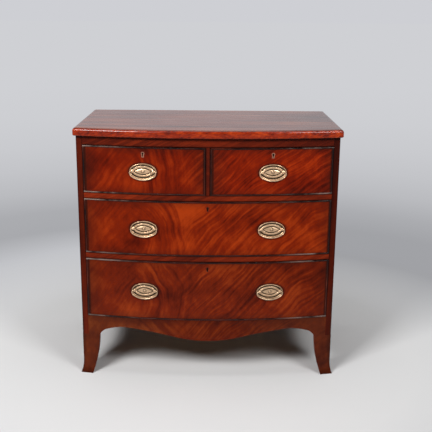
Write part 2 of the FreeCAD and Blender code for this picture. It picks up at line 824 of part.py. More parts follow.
def make_plate():
    """Stamped oval plate: rim, groove, ring, and a pointed eye with a boss."""
    face = "bow_front - plate_thickness"

    def step(label, inset, width, rise):
        outer = oval(f"{label}_outer", f"plate_half_width - {inset}",
                     f"plate_half_height - {inset}", f"{face} - {rise}", f"{rise} + lap")
        inner = oval(f"{label}_inner", f"plate_half_width - {inset} - {width}",
                     f"plate_half_height - {inset} - {width}", f"{face} - {rise} - overcut",
                     f"{rise} + 2 * overcut")
        return cut(label, outer, [inner])

    base = oval("plate_base", "plate_half_width", "plate_half_height", face, "plate_thickness")
    rim = step("plate_rim", "0", "rim_width", "rim_rise")
    ring = step("plate_ring", "ring_inset", "ring_width", "ring_rise")
    radius = "((eye_half_width ^ 2 + eye_half_height ^ 2) / (2 * eye_half_height))"
    discs = []
    for name, sign in (("upper", 1), ("lower", -1)):
        discs.append(rod(f"eye_{name}", radius, "eye_rise + lap",
                         ("0", f"{face} - eye_rise", f"{sign} * ({radius} - eye_half_height)"),
                         REARWARDS))
    eye = common("plate_eye", *discs)
    boss = new("Part::Cone", "plate_boss")
    boss.Placement = Placement(Vector(), Rotation(UP, REARWARDS))
    bind(boss, "Radius1", "boss_top_radius")
    bind(boss, "Radius2", "boss_radius")
    bind(boss, "Height", "boss_rise")
    bind(boss, "Placement.Base.y", f"{face} - boss_rise")
    return fuse("plate_blank", [base, rim, ring, eye, boss])


def make_handle_fittings():
    """The plate, bored for two posts, the posts with their nuts, and the shanks' holes.

    The posts' heads are cross-drilled for the bail and seat on the plate's relief.
    """
    shanks = [rod(f"shank_{side}_hole", "shank_radius + shank_gap",
                  "front_thickness + 2 * pivot_out", (x, "bow_front - pivot_out", "0"), REARWARDS)
              for side, x in (("left", "-post_x"), ("right", "post_x"))]
    plate = cut("plate_bored", make_plate(), shanks)
    pieces = []
    pivot = "bow_front - pivot_out"
    for side, x in (("left", "-post_x"), ("right", "post_x")):
        head = new("Part::Sphere", f"post_{side}_head")
        bind(head, "Radius", "post_radius")
        bind(head, "Placement.Base.x", x)
        bind(head, "Placement.Base.y", pivot)
        seat = box(f"post_{side}_seat",
                   (f"{x} - 2 * post_radius",
                    "bow_front - plate_thickness - ring_rise", "-2 * post_radius"),
                   ("4 * post_radius", "4 * post_radius", "4 * post_radius"))
        flat_head = cut(f"post_{side}_flat_head", head, [seat])
        neck = rod(f"post_{side}_neck", "shank_radius", "pivot_out - plate_thickness",
                   (x, pivot, "0"), REARWARDS)
        shank = rod(f"post_{side}_shank", "shank_radius",
                    "front_thickness + nut_thickness + plate_thickness + shank_tail",
                    (x, "bow_front - plate_thickness", "0"), REARWARDS)
        hole = rod(f"post_{side}_hole", "bail_pin_radius + bail_pin_gap", "4 * post_radius",
                   (f"{x} - 2 * post_radius", pivot, "0"), Vector(1, 0, 0))
        solid = fuse(f"post_{side}_solid", [flat_head, neck, shank])
        pieces.append(cut(f"post_{side}", solid, [hole]))
        nut = rod(f"nut_{side}", "nut_radius", "nut_thickness",
                  (x, "bow_front + front_thickness + nut_gap", "0"), REARWARDS)
        pieces.append(cut(f"nut_{side}_bored", nut, [shank]))
    return plate, pieces, shanks


def make_bail():
    """Swung bail: pins into the posts, tight elbows, and a half oval of tangent arcs."""
    pivot = number("bow_front - pivot_out")
    half, drop = number("bail_half_width"), number("bail_drop")
    side, elbow = number("bail_side_radius"), number("bail_elbow")
    pin_end = number("post_x - bail_pin_reach")
    deep = drop - elbow
    across = half - side
    broad = (across ** 2 + deep ** 2 - side ** 2) / (2 * (deep - side))
    lean = math.atan2(across, broad - deep)

    def at(x, z):
        return Vector(x, pivot, z)

    def arc(centre_x, centre_z, radius, first, last):
        points = [at(centre_x + radius * math.cos(a), centre_z + radius * math.sin(a))
                  for a in (first, (first + last) / 2, last)]
        return Part.Arc(*points).toShape()

    down = -math.pi / 2
    right_end, left_end = down + lean, down - lean
    edges = [
        Part.LineSegment(at(pin_end, 0), at(half - elbow, 0)).toShape(),
        arc(half - elbow, -elbow, elbow, math.pi / 2, 0),
        arc(across, -elbow, side, 0, right_end),
        arc(0, broad - drop, broad, right_end, left_end),
        arc(-across, -elbow, side, left_end, -math.pi),
        arc(elbow - half, -elbow, elbow, math.pi, math.pi / 2),
        Part.LineSegment(at(elbow - half, 0), at(-pin_end, 0)).toShape(),
    ]
    section = Part.Wire(Part.makeCircle(number("bail_radius"), at(pin_end, 0), Vector(1, 0, 0)))
    rod_shape = Part.Wire(edges).makePipeShell([section], True, False)
    over = number("overcut")
    reach = number("post_x + post_radius + bail_gap") - pin_end + over
    for sign in (1, -1):
        start, outwards = at(sign * (pin_end - over), 0), Vector(sign, 0, 0)
        sleeve = Part.makeCylinder(number("bail_radius") + over, reach, start, outwards)
        pin = Part.makeCylinder(number("bail_pin_radius"), reach, start, outwards)
        rod_shape = rod_shape.cut(sleeve).fuse(pin)
    feature = new("Part::Feature", "bail_blank")
    feature.Shape = rod_shape
    return feature


def make_handle(name, station, height, patterns):
    """Copies of the plate, posts, bail and shanks' holes, swung to their station."""
    plate, posts, shanks, bail = patterns
    return [swing(group(f"{name}_plate", [plate]), station, height),
            swing(group(f"{name}_posts", posts), station, height),
            swing(group(f"{name}_bail", [bail]), station, height),
            swing(group(f"{name}_shank_holes", shanks), station, height)]


def make_drawer(name, opening, lock_station, stations, patterns, long):
    """One drawer: bowed front, tailed sides, back, bottom, beads, lock and handles."""
    height = f"({opening[2]} + {opening[3]}) / 2 - handle_below_middle"
    left, right = f"{opening[0]} + drawer_side_gap", f"{opening[1]} - drawer_side_gap"
    low, high = f"{opening[2]} + drawer_run_gap", f"{opening[3]} - drawer_top_gap"
    top = f"{high} - lining_drop"
    floor = f"{low} + bottom_lift"
    blank = bowed(f"{name}_front_blank", left, right, low, high, front="bow_radius",
                  back_radius="inner_radius")
    ring = bowed(f"{name}_ring", f"{left} - overcut", f"{right} + overcut", low, high,
                 front="bow_radius", back_radius="inner_radius")
    rear_bar = box(f"{name}_rear_bar",
                   (left, "drawer_rear - drawer_back_thickness",
                    f"{floor} + drawer_bottom_thickness"),
                   (f"({right}) - ({left})", "drawer_back_thickness",
                    f"({top}) - ({floor}) - drawer_bottom_thickness - back_drop"))
    beads = make_beads(name, left, right, low, high)
    ends = [make_drawer_side(f"{name}_{side}", x, low, top, ring, rear_bar)
            for side, x in (("left", left), ("right", f"{right} - lining_thickness"))]
    sides = [side for side, _ in ends]
    sockets = [room for _, room in ends]
    inside = (f"{left} + lining_thickness", f"{right} - lining_thickness")
    front_edge = "inner_radius + groove_depth"
    spans = [(f"{inside[0]} - groove_depth", f"{inside[1]} + groove_depth")]
    if long:
        spans = [(f"{inside[0]} - groove_depth", "groove_depth - muntin_width / 2"),
                 ("muntin_width / 2 - groove_depth", f"{inside[1]} + groove_depth")]
    boards = [bowed(f"{name}_bottom_{index}", start, end, floor,
                    f"{floor} + drawer_bottom_thickness", front=front_edge,
                    back="drawer_rear - bottom_setback")
              for index, (start, end) in enumerate(spans)]
    if long:
        bar = bowed(f"{name}_muntin_bar", "-muntin_width / 2", "muntin_width / 2",
                    f"{floor} - muntin_lip", f"{floor} - muntin_lip + muntin_thickness",
                    front="inner_radius", back="drawer_rear - drawer_back_thickness")
        boards.append(cut(f"{name}_muntin", bar, boards[:]))
    bottom = group(f"{name}_bottom", boards)
    rim = "long_escutcheon_rim" if long else "short_escutcheon_rim"
    lock, bolt, lock_waste, keeper = make_lock(name, lock_station, high, rim)
    handles = [make_handle(f"{name}_{where}", x, height, patterns) for where, x in stations]
    holes = [pieces[3] for pieces in handles]
    lined = [cut(f"{name}_side_{index}", item, [bottom]) for index, item in enumerate(sides)]
    nodes = {
        "front": cut(f"{name}_front", blank, [beads, bottom, lock_waste] + sockets + holes),
        "sides": group(f"{name}_sides", lined),
        "back": cut(f"{name}_back", rear_bar, sides),
        "bottom": bottom, "cockbeads": beads, "lock": lock, "lock_bolt": bolt,
    }
    if long:
        nodes["handle_plates"] = group(f"{name}_handle_plates", [p[0] for p in handles])
        nodes["handle_posts"] = group(f"{name}_handle_posts", [p[1] for p in handles])
        nodes["left_bail"], nodes["right_bail"] = handles[0][2], handles[1][2]
    else:
        nodes["handle_plate"], nodes["handle_posts"] = handles[0][0], handles[0][1]
        nodes["bail"] = handles[0][2]
    return {f"{name}_{piece}": item for piece, item in nodes.items()}, keeper


def build():
    """Every node of the chest, by name."""
    patterns = make_handle_fittings() + (make_bail(),)
    half_post = "post_width / 2"
    short, short_keeper = make_drawer(
        "right_short_drawer", (half_post, "inner_half", "upper_rail_top", "frieze_low"),
        "handle_x", [("handle", "handle_x")], patterns, False)
    pair = [("left_handle", "-handle_x"), ("right_handle", "handle_x")]
    middle, middle_keeper = make_drawer(
        "middle_drawer", ("-inner_half", "inner_half", "lower_rail_top", "upper_rail_low"),
        "0", pair, patterns, True)
    bottom, bottom_keeper = make_drawer(
        "bottom_drawer", ("-inner_half", "inner_half", "apron_top", "lower_rail_low"),
        "0", pair, patterns, True)

    nodes = {"top": make_top()}
    dustboards, runners, kickers = make_inner_frame()
    post_tenon = box("post_tenon", ("-post_width / 2", "rail_back - 2 * post_tenon_depth",
                                    "upper_rail_top - post_tenon_length"),
                     ("post_width", "post_tenon_depth",
                      "frieze_low - upper_rail_top + 2 * post_tenon_length"))
    post = fuse("centre_post", [
        bowed("post_bar", "-post_width / 2", "post_width / 2", "upper_rail_top", "frieze_low",
              front="bow_radius", back="rail_back"), post_tenon])
    other_keeper = mirrored("left_keeper", short_keeper)
    rails = {
        "frieze_rail": cut("frieze_rail", make_rail("frieze", "frieze_low", "case_top"),
                           [post, short_keeper, other_keeper]),
        "upper_rail": cut("upper_rail", make_rail("upper", "upper_rail_low", "upper_rail_top"),
                          [post, dustboards, middle_keeper]),
        "lower_rail": cut("lower_rail", make_rail("lower", "lower_rail_low", "lower_rail_top"),
                          [dustboards, bottom_keeper]),
    }
    base = bowed("carcase_bottom", "-inner_half - housing_depth", "inner_half + housing_depth",
                 "apron_top - bottom_thickness", "apron_top",
                 front="bow_radius - apron_thickness", back="back_inner")
    backs = make_back_boards()
    side = make_side(list(rails.values()) + [base, backs])
    nodes.update({
        "right_side": side, "left_side": mirrored("left_side", side), "centre_post": post,
        "carcase_bottom": base, "back_boards": backs, "dustboards": dustboards,
        "drawer_runners": runners, "kickers": kickers, "drawer_stops": make_stops(),
        "apron": make_apron(),
    })
    nodes.update(rails)
    for where, foot in (("front", make_front_foot()), ("rear", make_rear_foot())):
        nodes[f"right_{where}_foot"] = foot
        nodes[f"left_{where}_foot"] = mirrored(f"left_{where}_foot", foot)
    for name, item in short.items():
        nodes[name] = item
        other = name.replace("right", "left", 1)
        nodes[other] = mirrored(other, item)
    nodes.update(middle)
    nodes.update(bottom)
    for name, item in nodes.items():
        item.Label = name
    return nodes


def check(nodes):
    """Stop unless every object was computed and every node is a valid solid or solids."""
    for item in doc.Objects:
        if "Invalid" in item.State or "Error" in item.State:
            raise RuntimeError(f"{item.Label} failed: {item.State}")
    for name, item in nodes.items():
        shape = item.Shape
        if item.Label != name:
            raise RuntimeError(f"{name} is labelled {item.Label}")
        if shape.isNull() or not shape.isValid() or not shape.Solids:
            raise RuntimeError(f"{name} has no valid solid")


nodes = build()
doc.recompute()
check(nodes)
os.makedirs("parts", exist_ok=True)
for name, item in nodes.items():
    item.Shape.exportStep(f"parts/{name}.step")
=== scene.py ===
import json
import math
import random
from functools import partial

import bmesh
import bpy
from bpy.props import FloatProperty, FloatVectorProperty, IntProperty, PointerProperty
from bpy.types import Operator, Panel, PropertyGroup
from mathutils import Matrix, Vector

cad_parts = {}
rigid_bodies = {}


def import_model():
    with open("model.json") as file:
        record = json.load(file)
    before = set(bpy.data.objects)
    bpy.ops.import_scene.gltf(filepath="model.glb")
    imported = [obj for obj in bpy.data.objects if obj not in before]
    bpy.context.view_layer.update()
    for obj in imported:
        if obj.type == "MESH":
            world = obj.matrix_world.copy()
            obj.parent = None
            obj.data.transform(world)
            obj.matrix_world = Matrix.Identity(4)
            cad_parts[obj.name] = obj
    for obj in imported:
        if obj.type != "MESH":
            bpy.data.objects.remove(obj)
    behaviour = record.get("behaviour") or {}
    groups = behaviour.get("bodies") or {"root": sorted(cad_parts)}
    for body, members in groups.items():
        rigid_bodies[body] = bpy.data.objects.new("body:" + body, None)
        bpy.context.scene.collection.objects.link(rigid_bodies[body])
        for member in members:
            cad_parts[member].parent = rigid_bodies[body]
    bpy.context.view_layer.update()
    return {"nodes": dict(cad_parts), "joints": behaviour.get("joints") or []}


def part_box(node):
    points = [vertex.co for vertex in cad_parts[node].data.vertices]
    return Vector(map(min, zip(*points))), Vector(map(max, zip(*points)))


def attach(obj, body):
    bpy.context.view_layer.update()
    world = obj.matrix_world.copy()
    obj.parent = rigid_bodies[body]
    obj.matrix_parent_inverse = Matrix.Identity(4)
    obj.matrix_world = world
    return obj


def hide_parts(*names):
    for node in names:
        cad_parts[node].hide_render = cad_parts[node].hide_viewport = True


bl_info = {
    "name": "Bow front chest of drawers",
    "version": (1, 0, 0),
    "blender": (4, 5, 0),
    "location": "3D View > Sidebar > Bow chest",
    "description": "Dresses the chest's frame with polished mahogany, stamped brass and fixings",
    "category": "Object",
}

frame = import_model()

DRAWERS = ("right_short_drawer", "left_short_drawer", "middle_drawer", "bottom_drawer")
UP = Vector((0, 0, 1))

# Sizes that are the frame's too, in metres.
BOW_RADIUS = 2.118  # of the drawer fronts' faces
BOW_AXIS = 1.866  # y of the upright axis that they are struck about
FRONT_THICKNESS = 0.024  # of a drawer front
PIVOT_OUT = 0.0053  # from the drawer's face out to a bail's pivot
POST_X = 0.036  # from a handle's middle to each of its posts
HANDLE_X = 0.221  # from the chest's middle to each handle's

# How far an arris is rounded over, in metres.
BROAD_ARRIS, NARROW_ARRIS, LINING_ARRIS, METAL_ARRIS = 0.0006, 0.0004, 0.0003, 0.0002
ARRIS_ANGLE = math.radians(40)  # edges that turn by more are rounded over
WELD_GAP = 0.00002
SHARP = math.radians(38)  # edges of the new pieces that turn by more stay sharp


def linear(red, green, blue):
    """A colour written in screen values 0-255, as the shaders' linear values."""
    return tuple(c / 12.92 if c <= 0.04045 else ((c + 0.055) / 1.055) ** 2.4
                 for c in (red / 255, green / 255, blue / 255))


def colour(label, text, *screen):
    """A colour setting, its default given in screen values."""
    return FloatVectorProperty(name=label, description=text, default=linear(*screen),
                               subtype="COLOR", size=3, min=0, max=1)


def length(label, text, default):
    """A length setting, in metres."""
    return FloatProperty(name=label, description=text, default=default, min=0,
                         unit="LENGTH", subtype="DISTANCE")


def share(label, text, default):
    """A setting from 0 to 1."""
    return FloatProperty(name=label, description=text, default=default, min=0, max=1,
                         subtype="FACTOR")


def power(label, text, default):
    """A lamp's power, in watts."""
    return FloatProperty(name=label, description=text, default=default, min=0, unit="POWER")


class ChestWoods(PropertyGroup):
    """Colours of the chest's timbers and of the polish on them."""

    flame_dark: colour("Flame dark", "Dark ripples of the drawer fronts' veneer", 72, 13, 4)
    flame_mid: colour("Flame body", "Body colour of the drawer fronts' veneer", 122, 30, 7)
    flame_light: colour("Flame light", "Lit ripples of the drawer fronts' veneer", 162, 52, 14)
    carcase_dark: colour("Carcase dark", "Dark grain of the carcase mahogany", 76, 21, 9)
    carcase_mid: colour("Carcase body", "Body colour of the carcase mahogany", 118, 37, 14)
    carcase_light: colour("Carcase light", "Lit grain of the carcase mahogany", 152, 52, 22)
    bead_dark: colour("Bead", "Nearly black polish on the cockbeads", 26, 10, 8)
    oak_mid: colour("Drawer lining", "Oak of the drawers' sides, backs and bottoms", 168, 128, 82)
    pine_mid: colour("Pine", "Pine of the back boards, runners and dust boards", 160, 120, 74)
    polish: share("Polish", "Weight of the clear polish on the show wood", 0.3)


class ChestBrass(PropertyGroup):
    """Colours and relief of the brass fittings."""

    bright: colour("Brass", "Rubbed brass of the plates and bails", 240, 200, 160)
    hollow: colour("Tarnish", "Dark tarnish lying in the plates' grooves", 50, 36, 17)
    lock: colour("Lock brass", "Duller brass of the locks", 176, 142, 92)
    relief: length("Relief", "Height of the plate's raised ring over its ground", 0.0018)
    rim: length("Rim", "Height of the plate's rim over its ground", 0.0012)
    rings: IntProperty(name="Rings", description="Rings in each plate's mesh", default=54,
                       min=12, max=120)


class ChestStage(PropertyGroup):
    """Floor, backdrop and lamps."""

    floor: colour("Floor", "Pale floor near the chest", 213, 213, 213)
    wall: colour("Backdrop", "Backdrop behind the chest", 206, 207, 212)
    key_power: power("Left lamp", "Power of the stronger, left lamp", 117)
    side_power: power("Right lamp", "Power of the weaker, right lamp", 56)
    top_power: power("Overhead lamp", "Power of the overhead lamp", 36)
    ambient: share("Ambient", "Strength of the even light from the room", 0.04)


class ChestSettings(PropertyGroup):
    """All settings of the chest."""

    woods: PointerProperty(type=ChestWoods)
    brass: PointerProperty(type=ChestBrass)
    stage: PointerProperty(type=ChestStage)


def shader_node(tree, kind, inputs=None, **settings):
    """Adds a node to a tree. Its inputs are given as values, or as sockets to join to."""
    made = tree.nodes.new("ShaderNode" + kind)
    for key, value in settings.items():
        setattr(made, key, value)
    for key, value in (inputs or {}).items():
        socket = made.inputs[key]
        if isinstance(value, bpy.types.NodeSocket):
            tree.links.new(value, socket)
        elif socket.type == "RGBA":
            socket.default_value = tuple(value)[:3] + (1,)
        else:
            socket.default_value = value
    return made


class Finish:
    """A material with short calls that add and join its nodes."""

    def __init__(self, name):
        self.material = bpy.data.materials.new(name)
        self.material.use_nodes = True
        self.tree = self.material.node_tree
        self.tree.nodes.clear()

    def node(self, kind, inputs=None, **settings):
        return shader_node(self.tree, kind, inputs, **settings)

    def math(self, operation, first, second=0.0):
        return self.node("Math", {0: first, 1: second}, operation=operation).outputs[0]

    def add(self, first, *others):
        for value in others:
            first = self.math("ADD", first, value)
        return first

    def less(self, first, second):
        return self.math("SUBTRACT", first, second)

    def times(self, first, second):
        return self.math("MULTIPLY", first, second)

    def least(self, first, second):
        return self.math("MINIMUM", first, second)

    def most(self, first, *others):
        for value in others:
            first = self.math("MAXIMUM", first, value)
        return first

    def size(self, value):
        """value without its sign."""
        return self.math("ABSOLUTE", value)

    def reach(self, first, second):
        """Distance of a point from where both of its coordinates are 0."""
        squares = self.add(self.times(first, first), self.times(second, second))
        return self.math("SQRT", squares)

    def place(self, shift=(0, 0, 0)):
        """The three object coordinates, moved so that like pieces differ in grain."""
        spot = self.node("TexCoord").outputs["Object"]
        moved = self.node("VectorMath", {0: spot, 1: shift}).outputs[0]
        return self.node("SeparateXYZ", {0: moved}).outputs[:3]

    def normal(self):
        """The three parts of the surface's normal."""
        facing = self.node("NewGeometry").outputs["Normal"]
        return self.node("SeparateXYZ", {0: facing}).outputs

    def grain(self, spot, scales, detail=2.0, roughness=0.5, distortion=0.0):
        """Noise at a spot of three coordinates. scales are its repeats in a metre of each."""
        joined = self.node("CombineXYZ", dict(enumerate(spot))).outputs[0]
        scaled = self.node("VectorMath", {0: joined, 1: scales}, operation="MULTIPLY")
        return self.node("TexNoise", {
            "Vector": scaled.outputs[0], "Scale": 1.0, "Detail": detail,
            "Roughness": roughness, "Distortion": distortion}).outputs["Fac"]

    def span(self, value, low, high, to_low=0.0, to_high=1.0):
        """value moved from low..high to to_low..to_high, and held inside them."""
        return self.node("MapRange", {"Value": value, "From Min": low, "From Max": high,
                                      "To Min": to_low, "To Max": to_high},
                         clamp=True).outputs[0]

    def fade(self, value, low, high, strength=1.0):
        """strength where value is below low, falling to nothing at high."""
        return self.span(value, low, high, strength, 0)

    def ramp(self, value, stops):
        """A colour for each value, blended between stops of (value, colour)."""
        made = self.node("ValToRGB", {"Fac": value})
        slots = made.color_ramp.elements
        while len(slots) < len(stops):
            slots.new(0.5)
        for slot, (spot, tone) in zip(slots, stops):
            slot.position = spot
            slot.color = tuple(tone)[:3] + (1,)
        return made.outputs["Color"]

    def screen_ramp(self, value, stops):
        """A ramp whose colours are given in screen values."""
        return self.ramp(value, [(spot, linear(*tone)) for spot, tone in stops])

    def mix(self, share, first, second, blend="MIX"):
        """Colour first, with a share of colour second over it."""
        inputs = {0: share, 6: first, 7: second}
        return self.node("Mix", inputs, data_type="RGBA", blend_type=blend).outputs[2]

    def bump(self, height, distance, strength):
        return self.node("Bump", {"Height": height, "Distance": distance,
                                  "Strength": strength}).outputs["Normal"]

    def close(self, shader):
        """Ends the material with a shader."""
        self.node("OutputMaterial", {"Surface": shader.outputs[0]})
        return self.material

    def surface(self, **inputs):
        """Closes the material with a principled shader. Keys are its sockets' names."""
        return self.close(self.node("BsdfPrincipled", {
            key.replace("_", " "): value for key, value in inputs.items()}))


GLOSS = 0.2  # roughness where the polish is smoothest
DULLER = 0.14  # more of it over dark grain
GRIME_AND_SHADE = (0.12, 0.09, 0.08)  # what old grime and painted shade leave of the wood's colour
DIRT_AND_SHADE = (0.03, 0.006, 0.003)  # dark polish and dirt lying on the veneer, and painted shade and shadow along its edges and round its plates


def from_axis(finish, x, y):
    """Distance from the upright axis that the bowed fronts are struck about."""
    return finish.reach(x, finish.less(y, BOW_AXIS))


def polished(finish, tone, figure, fibres, woods):
    """Closes a show wood under clear polish, with faint ripples in the polish."""
    return finish.surface(
        Base_Color=tone, Roughness=finish.span(figure, 0.2, 0.8, GLOSS + DULLER, GLOSS),
        Specular_IOR_Level=0.03, Coat_Weight=woods.polish, Coat_Roughness=0.1, Coat_IOR=1.22,
        Normal=finish.bump(fibres, 0.0004, 0.25))


ARC_CENTRE = -0.32  # x that the curved ripples go round
ARC_DROP = 0.03  # how far that centre lies below the middle of the face
ARC_ENDS = ((-0.3, -0.22), (-0.13, -0.03))  # x where the curved ripples begin and end
BROAD_RIPPLES, FINE_RIPPLES = (68, 68, 1), (130, 130, 1)
BROAD_SHARE, FINE_SHARE = 0.6, 0.4


def flame_figure(finish, x, z, z_mid, shift):
    """Ripples that curve round beside the left handle and rise to the right elsewhere."""
    warp = finish.span(finish.grain((x, shift, z), (5, 5, 5)), 0, 1, -0.05, 0.05)
    low_z = finish.less(z, z_mid - ARC_DROP)
    arcs = finish.reach(finish.less(x, ARC_CENTRE), low_z)
    slope = finish.times(x, finish.span(x, -0.1, 0.43, 1.2, 0.88))
    rising = finish.less(slope, low_z)

    def ripples(phase, seed):
        phase = finish.add(phase, warp)
        broad = finish.grain((phase, finish.times(x, 0.12), seed), BROAD_RIPPLES, 2.0, 0.38)
        fine = finish.grain((phase, finish.times(z, 0.10), seed + 3), FINE_RIPPLES, 2.0, 0.4)
        return finish.add(finish.times(broad, BROAD_SHARE), finish.times(fine, FINE_SHARE))

    begin, end = ARC_ENDS
    ringed = finish.times(finish.span(x, *begin), finish.fade(x, *end))
    figure = finish.node("Mix", {0: ringed, 2: ripples(rising, shift + 5),
                                 3: ripples(arcs, shift)}).outputs[0]
    calm = finish.span(x, -0.3, -0.18, 0.45, 1.0)
    return finish.times(finish.less(figure, 0.5), calm)


# Where a veneered face is darker: at full strength up to a distance, and not at all past another.
# The distances are from its left, right and level edges, in metres. The first band of each pair is
# dirt along the cockbeads together with the beads' painted shadow, widest on the left. The second
# is a broader painted shade towards the face's edges.
LEFT_DIRT_AND_SHADOW, LEFT_SHADE = (0.0095, 0.0160, 0.93), (0.004, 0.07, 0.6)
RIGHT_DIRT_AND_SHADOW, RIGHT_SHADE = (0.0068, 0.0130, 0.9), (0.004, 0.055, 0.5)
LEVEL_DIRT_AND_SHADOW, LEVEL_SHADE = (0.0048, 0.0072, 0.8), (0.004, 0.03, 0.4)
PLATE_HALO = (1.04, 1.26, 0.85)  # painted shadow and old polish round the plates; its distances are in sizes of the handle plate
TOE_DARKENING = (0.0, 0.024, 0.72)  # above the floor
TOE_SPLAY = (0.0, 0.09, 0.012)  # how far a foot's outer edge stands out, above the floor
FOOT_RIM = (0.4360, 0.4460, 0, 0.6)  # from and to a distance from the middle, and strengths


def edge_dirt_and_shadow(finish, x, z, box):
    """Dirt and the cockbeads' painted shadow along the edges of a face, and a broader painted
    shade inside it.
    """
    (x_low, _, z_low), (x_high, _, z_high) = box
    from_left, from_right = finish.less(x, x_low), finish.less(x_high, x)
    level = finish.least(finish.less(z, z_low), finish.less(z_high, z))
    return finish.most(*[finish.fade(inside, *band) for inside, band in (
        (from_left, LEFT_DIRT_AND_SHADOW), (from_right, RIGHT_DIRT_AND_SHADOW), (level, LEVEL_DIRT_AND_SHADOW),
        (from_left, LEFT_SHADE), (from_right, RIGHT_SHADE), (level, LEVEL_SHADE))])


def plate_dirt_and_shadow(finish, x, z, handle_z):
    """Old polish that has gathered round a drawer's handle plates, with the plates' painted
    shadow.
    """
    across = finish.math("DIVIDE", finish.less(finish.size(x), HANDLE_X), PLATE[0])
    rise = finish.math("DIVIDE", finish.less(z, handle_z), PLATE[1])
    return finish.fade(finish.reach(across, rise), *PLATE_HALO)


def foot_darkening(finish, outer, z):
    """Darker towards a front foot's toe and along its splayed outer edge."""
    upright = finish.less(outer, finish.fade(z, *TOE_SPLAY))
    return finish.most(finish.fade(z, *TOE_DARKENING), finish.span(upright, *FOOT_RIM))


APRON_TINT = (0.47, 0.62, 0.72)  # what the veneer's colour is multiplied by
FOOT_TINT = (0.6, 1.5, 2.5)  # the same towards the feet
HEART_X, HEART_BAND = -0.05, (0.05, 0.2)  # the middle of the heartwood, and how it fades
VENEER_BACK = (BOW_RADIUS - 0.0016, BOW_RADIUS - 0.0014)  # where the plain timber ends


def flame_veneer(name, shift, box, woods, tint, handle_z=None, upright_core=False,
                 heart=0.0, strength=0.62):
    """Flame mahogany veneer on a bowed face, and the plain timber it is laid on.

    handle_z is the height of a drawer's handles; without one the face is the apron's or a
    foot's. heart is how much lighter the heartwood is, strength how clear the ripples are.
    """
    finish = Finish(name)
    x, y, z = finish.place()
    figure = flame_figure(finish, x, z, (box[0][2] + box[1][2]) / 2, shift)
    blotch = finish.grain((x, shift + 7, z), (6, 1, 8))
    mottle = finish.grain((x, shift + 9, z), (60, 1, 34))
    if handle_z is None:
        outer = finish.size(x)
        figure = finish.times(figure, finish.span(outer, 0.26, 0.39, 1.0, 0.35))
        tint = finish.mix(finish.span(outer, 0.1, 0.3), tint, FOOT_TINT)
        local_darkening = foot_darkening(finish, outer, z)
    else:
        # painted shadow of the handle plates, with old polish round them
        local_darkening = plate_dirt_and_shadow(finish, x, z, handle_z)
    figure = finish.add(finish.times(figure, strength), finish.times(blotch, 0.6),
                        finish.times(mottle, 0.2), 0.1)
    if heart:
        aside = finish.size(finish.less(x, HEART_X))
        figure = finish.add(figure, finish.fade(aside, *HEART_BAND, heart))
    tone = finish.ramp(figure, [(0.32, woods.flame_dark), (0.5, woods.flame_mid),
                                (0.68, woods.flame_light)])
    fibres = finish.grain((x, y, z), (60, 60, 900))
    pores = finish.span(fibres, 0.36, 0.46, 0.7, 1.0)
    tone = finish.mix(0.35, tone, pores, "MULTIPLY")
    tone = finish.mix(1.0, tone, tint, "MULTIPLY")
    # dirt, painted shadow and painted shade darken the veneer
    veneer = finish.mix(finish.most(edge_dirt_and_shadow(finish, x, z, box), local_darkening), tone, DIRT_AND_SHADE)
    core = finish.grain((x, y, z), (24, 24, 2) if upright_core else (7, 90, 90), 3.0)
    tones = (woods.carcase_dark, woods.carcase_mid, woods.carcase_light)
    dark, light = tones[:2] if upright_core else tones[1:]
    core = finish.ramp(core, [(0.3, dark), (0.7, light)])
    face = finish.span(from_axis(finish, x, y), *VENEER_BACK)
    return polished(finish, finish.mix(face, core, veneer), figure, fibres, woods)


def sorted_axes(grain, x, y, z):
    """The coordinate along the grain first, then the two across it."""
    spots = {"X": x, "Y": y, "Z": z}
    return [spots.pop(grain), *spots.values()]


def mahogany(name, grain, shift, woods, darkening, figure_share, bright, slant=0.0):
    """Plain show mahogany, its grain along one axis. The function passed after woods says how much
    grime and painted shade darken it.
    """
    finish = Finish(name)
    x, y, z = finish.place((shift, shift * 0.7, -shift))
    along, across, through = cut = sorted_axes(grain, x, y, z)
    streaks = finish.grain(cut, (1.6, 30, 30), 3.0, 0.55, 0.4)
    leaning = finish.add(along, finish.times(z, slant))
    ripple = finish.grain((leaning, across, through), (42, 7, 7), 2.0, 0.5, 0.6)
    blotch = finish.grain(cut, (5, 9, 9))
    fibres = finish.grain(cut, (40, 900, 900))
    value = finish.add(finish.times(streaks, 0.75 - figure_share),
                       finish.times(ripple, figure_share), finish.times(blotch, 0.25))
    low, high = 0.54 - 0.24 * bright, 0.86 - 0.24 * bright
    tone = finish.ramp(value, [(low, woods.carcase_dark), ((low + high) / 2, woods.carcase_mid),
                               (high, woods.carcase_light)])
    pores = finish.span(fibres, 0.34, 0.46, 0.45, 1.0)
    tone = finish.mix(0.4, tone, pores, "MULTIPLY")
    # grime and painted shade darken the wood
    tone = finish.mix(darkening(finish), tone, GRIME_AND_SHADE, "MULTIPLY")
    return polished(finish, tone, value, fibres, woods)


# Where the darkening begins and ends: on the sides from the chest's middle or above the floor, on
# the rails in from their level edges, on the post out from its middle, and above the floor on the
# rear feet. Metres. On the sides' front edges it is painted shade. On the rails and the post it is
# dirt together with painted shade by the drawer gaps.
INSIDE, OVER_BOTTOM = (0.4310, 0.4350), (0.218, 0.224)
FRONT_EDGE, LOW_DOWN = (0.4460, 0.4505), (0.15, 0.32)
RAIL_EDGE, POST_EDGE, FOOT_END = (0.0008, 0.0040), (0.0035, 0.0068), (0.0, 0.010)
THICK, THIN, ALL_OVER = 0.85, 0.1, 0.22  # how strong it is


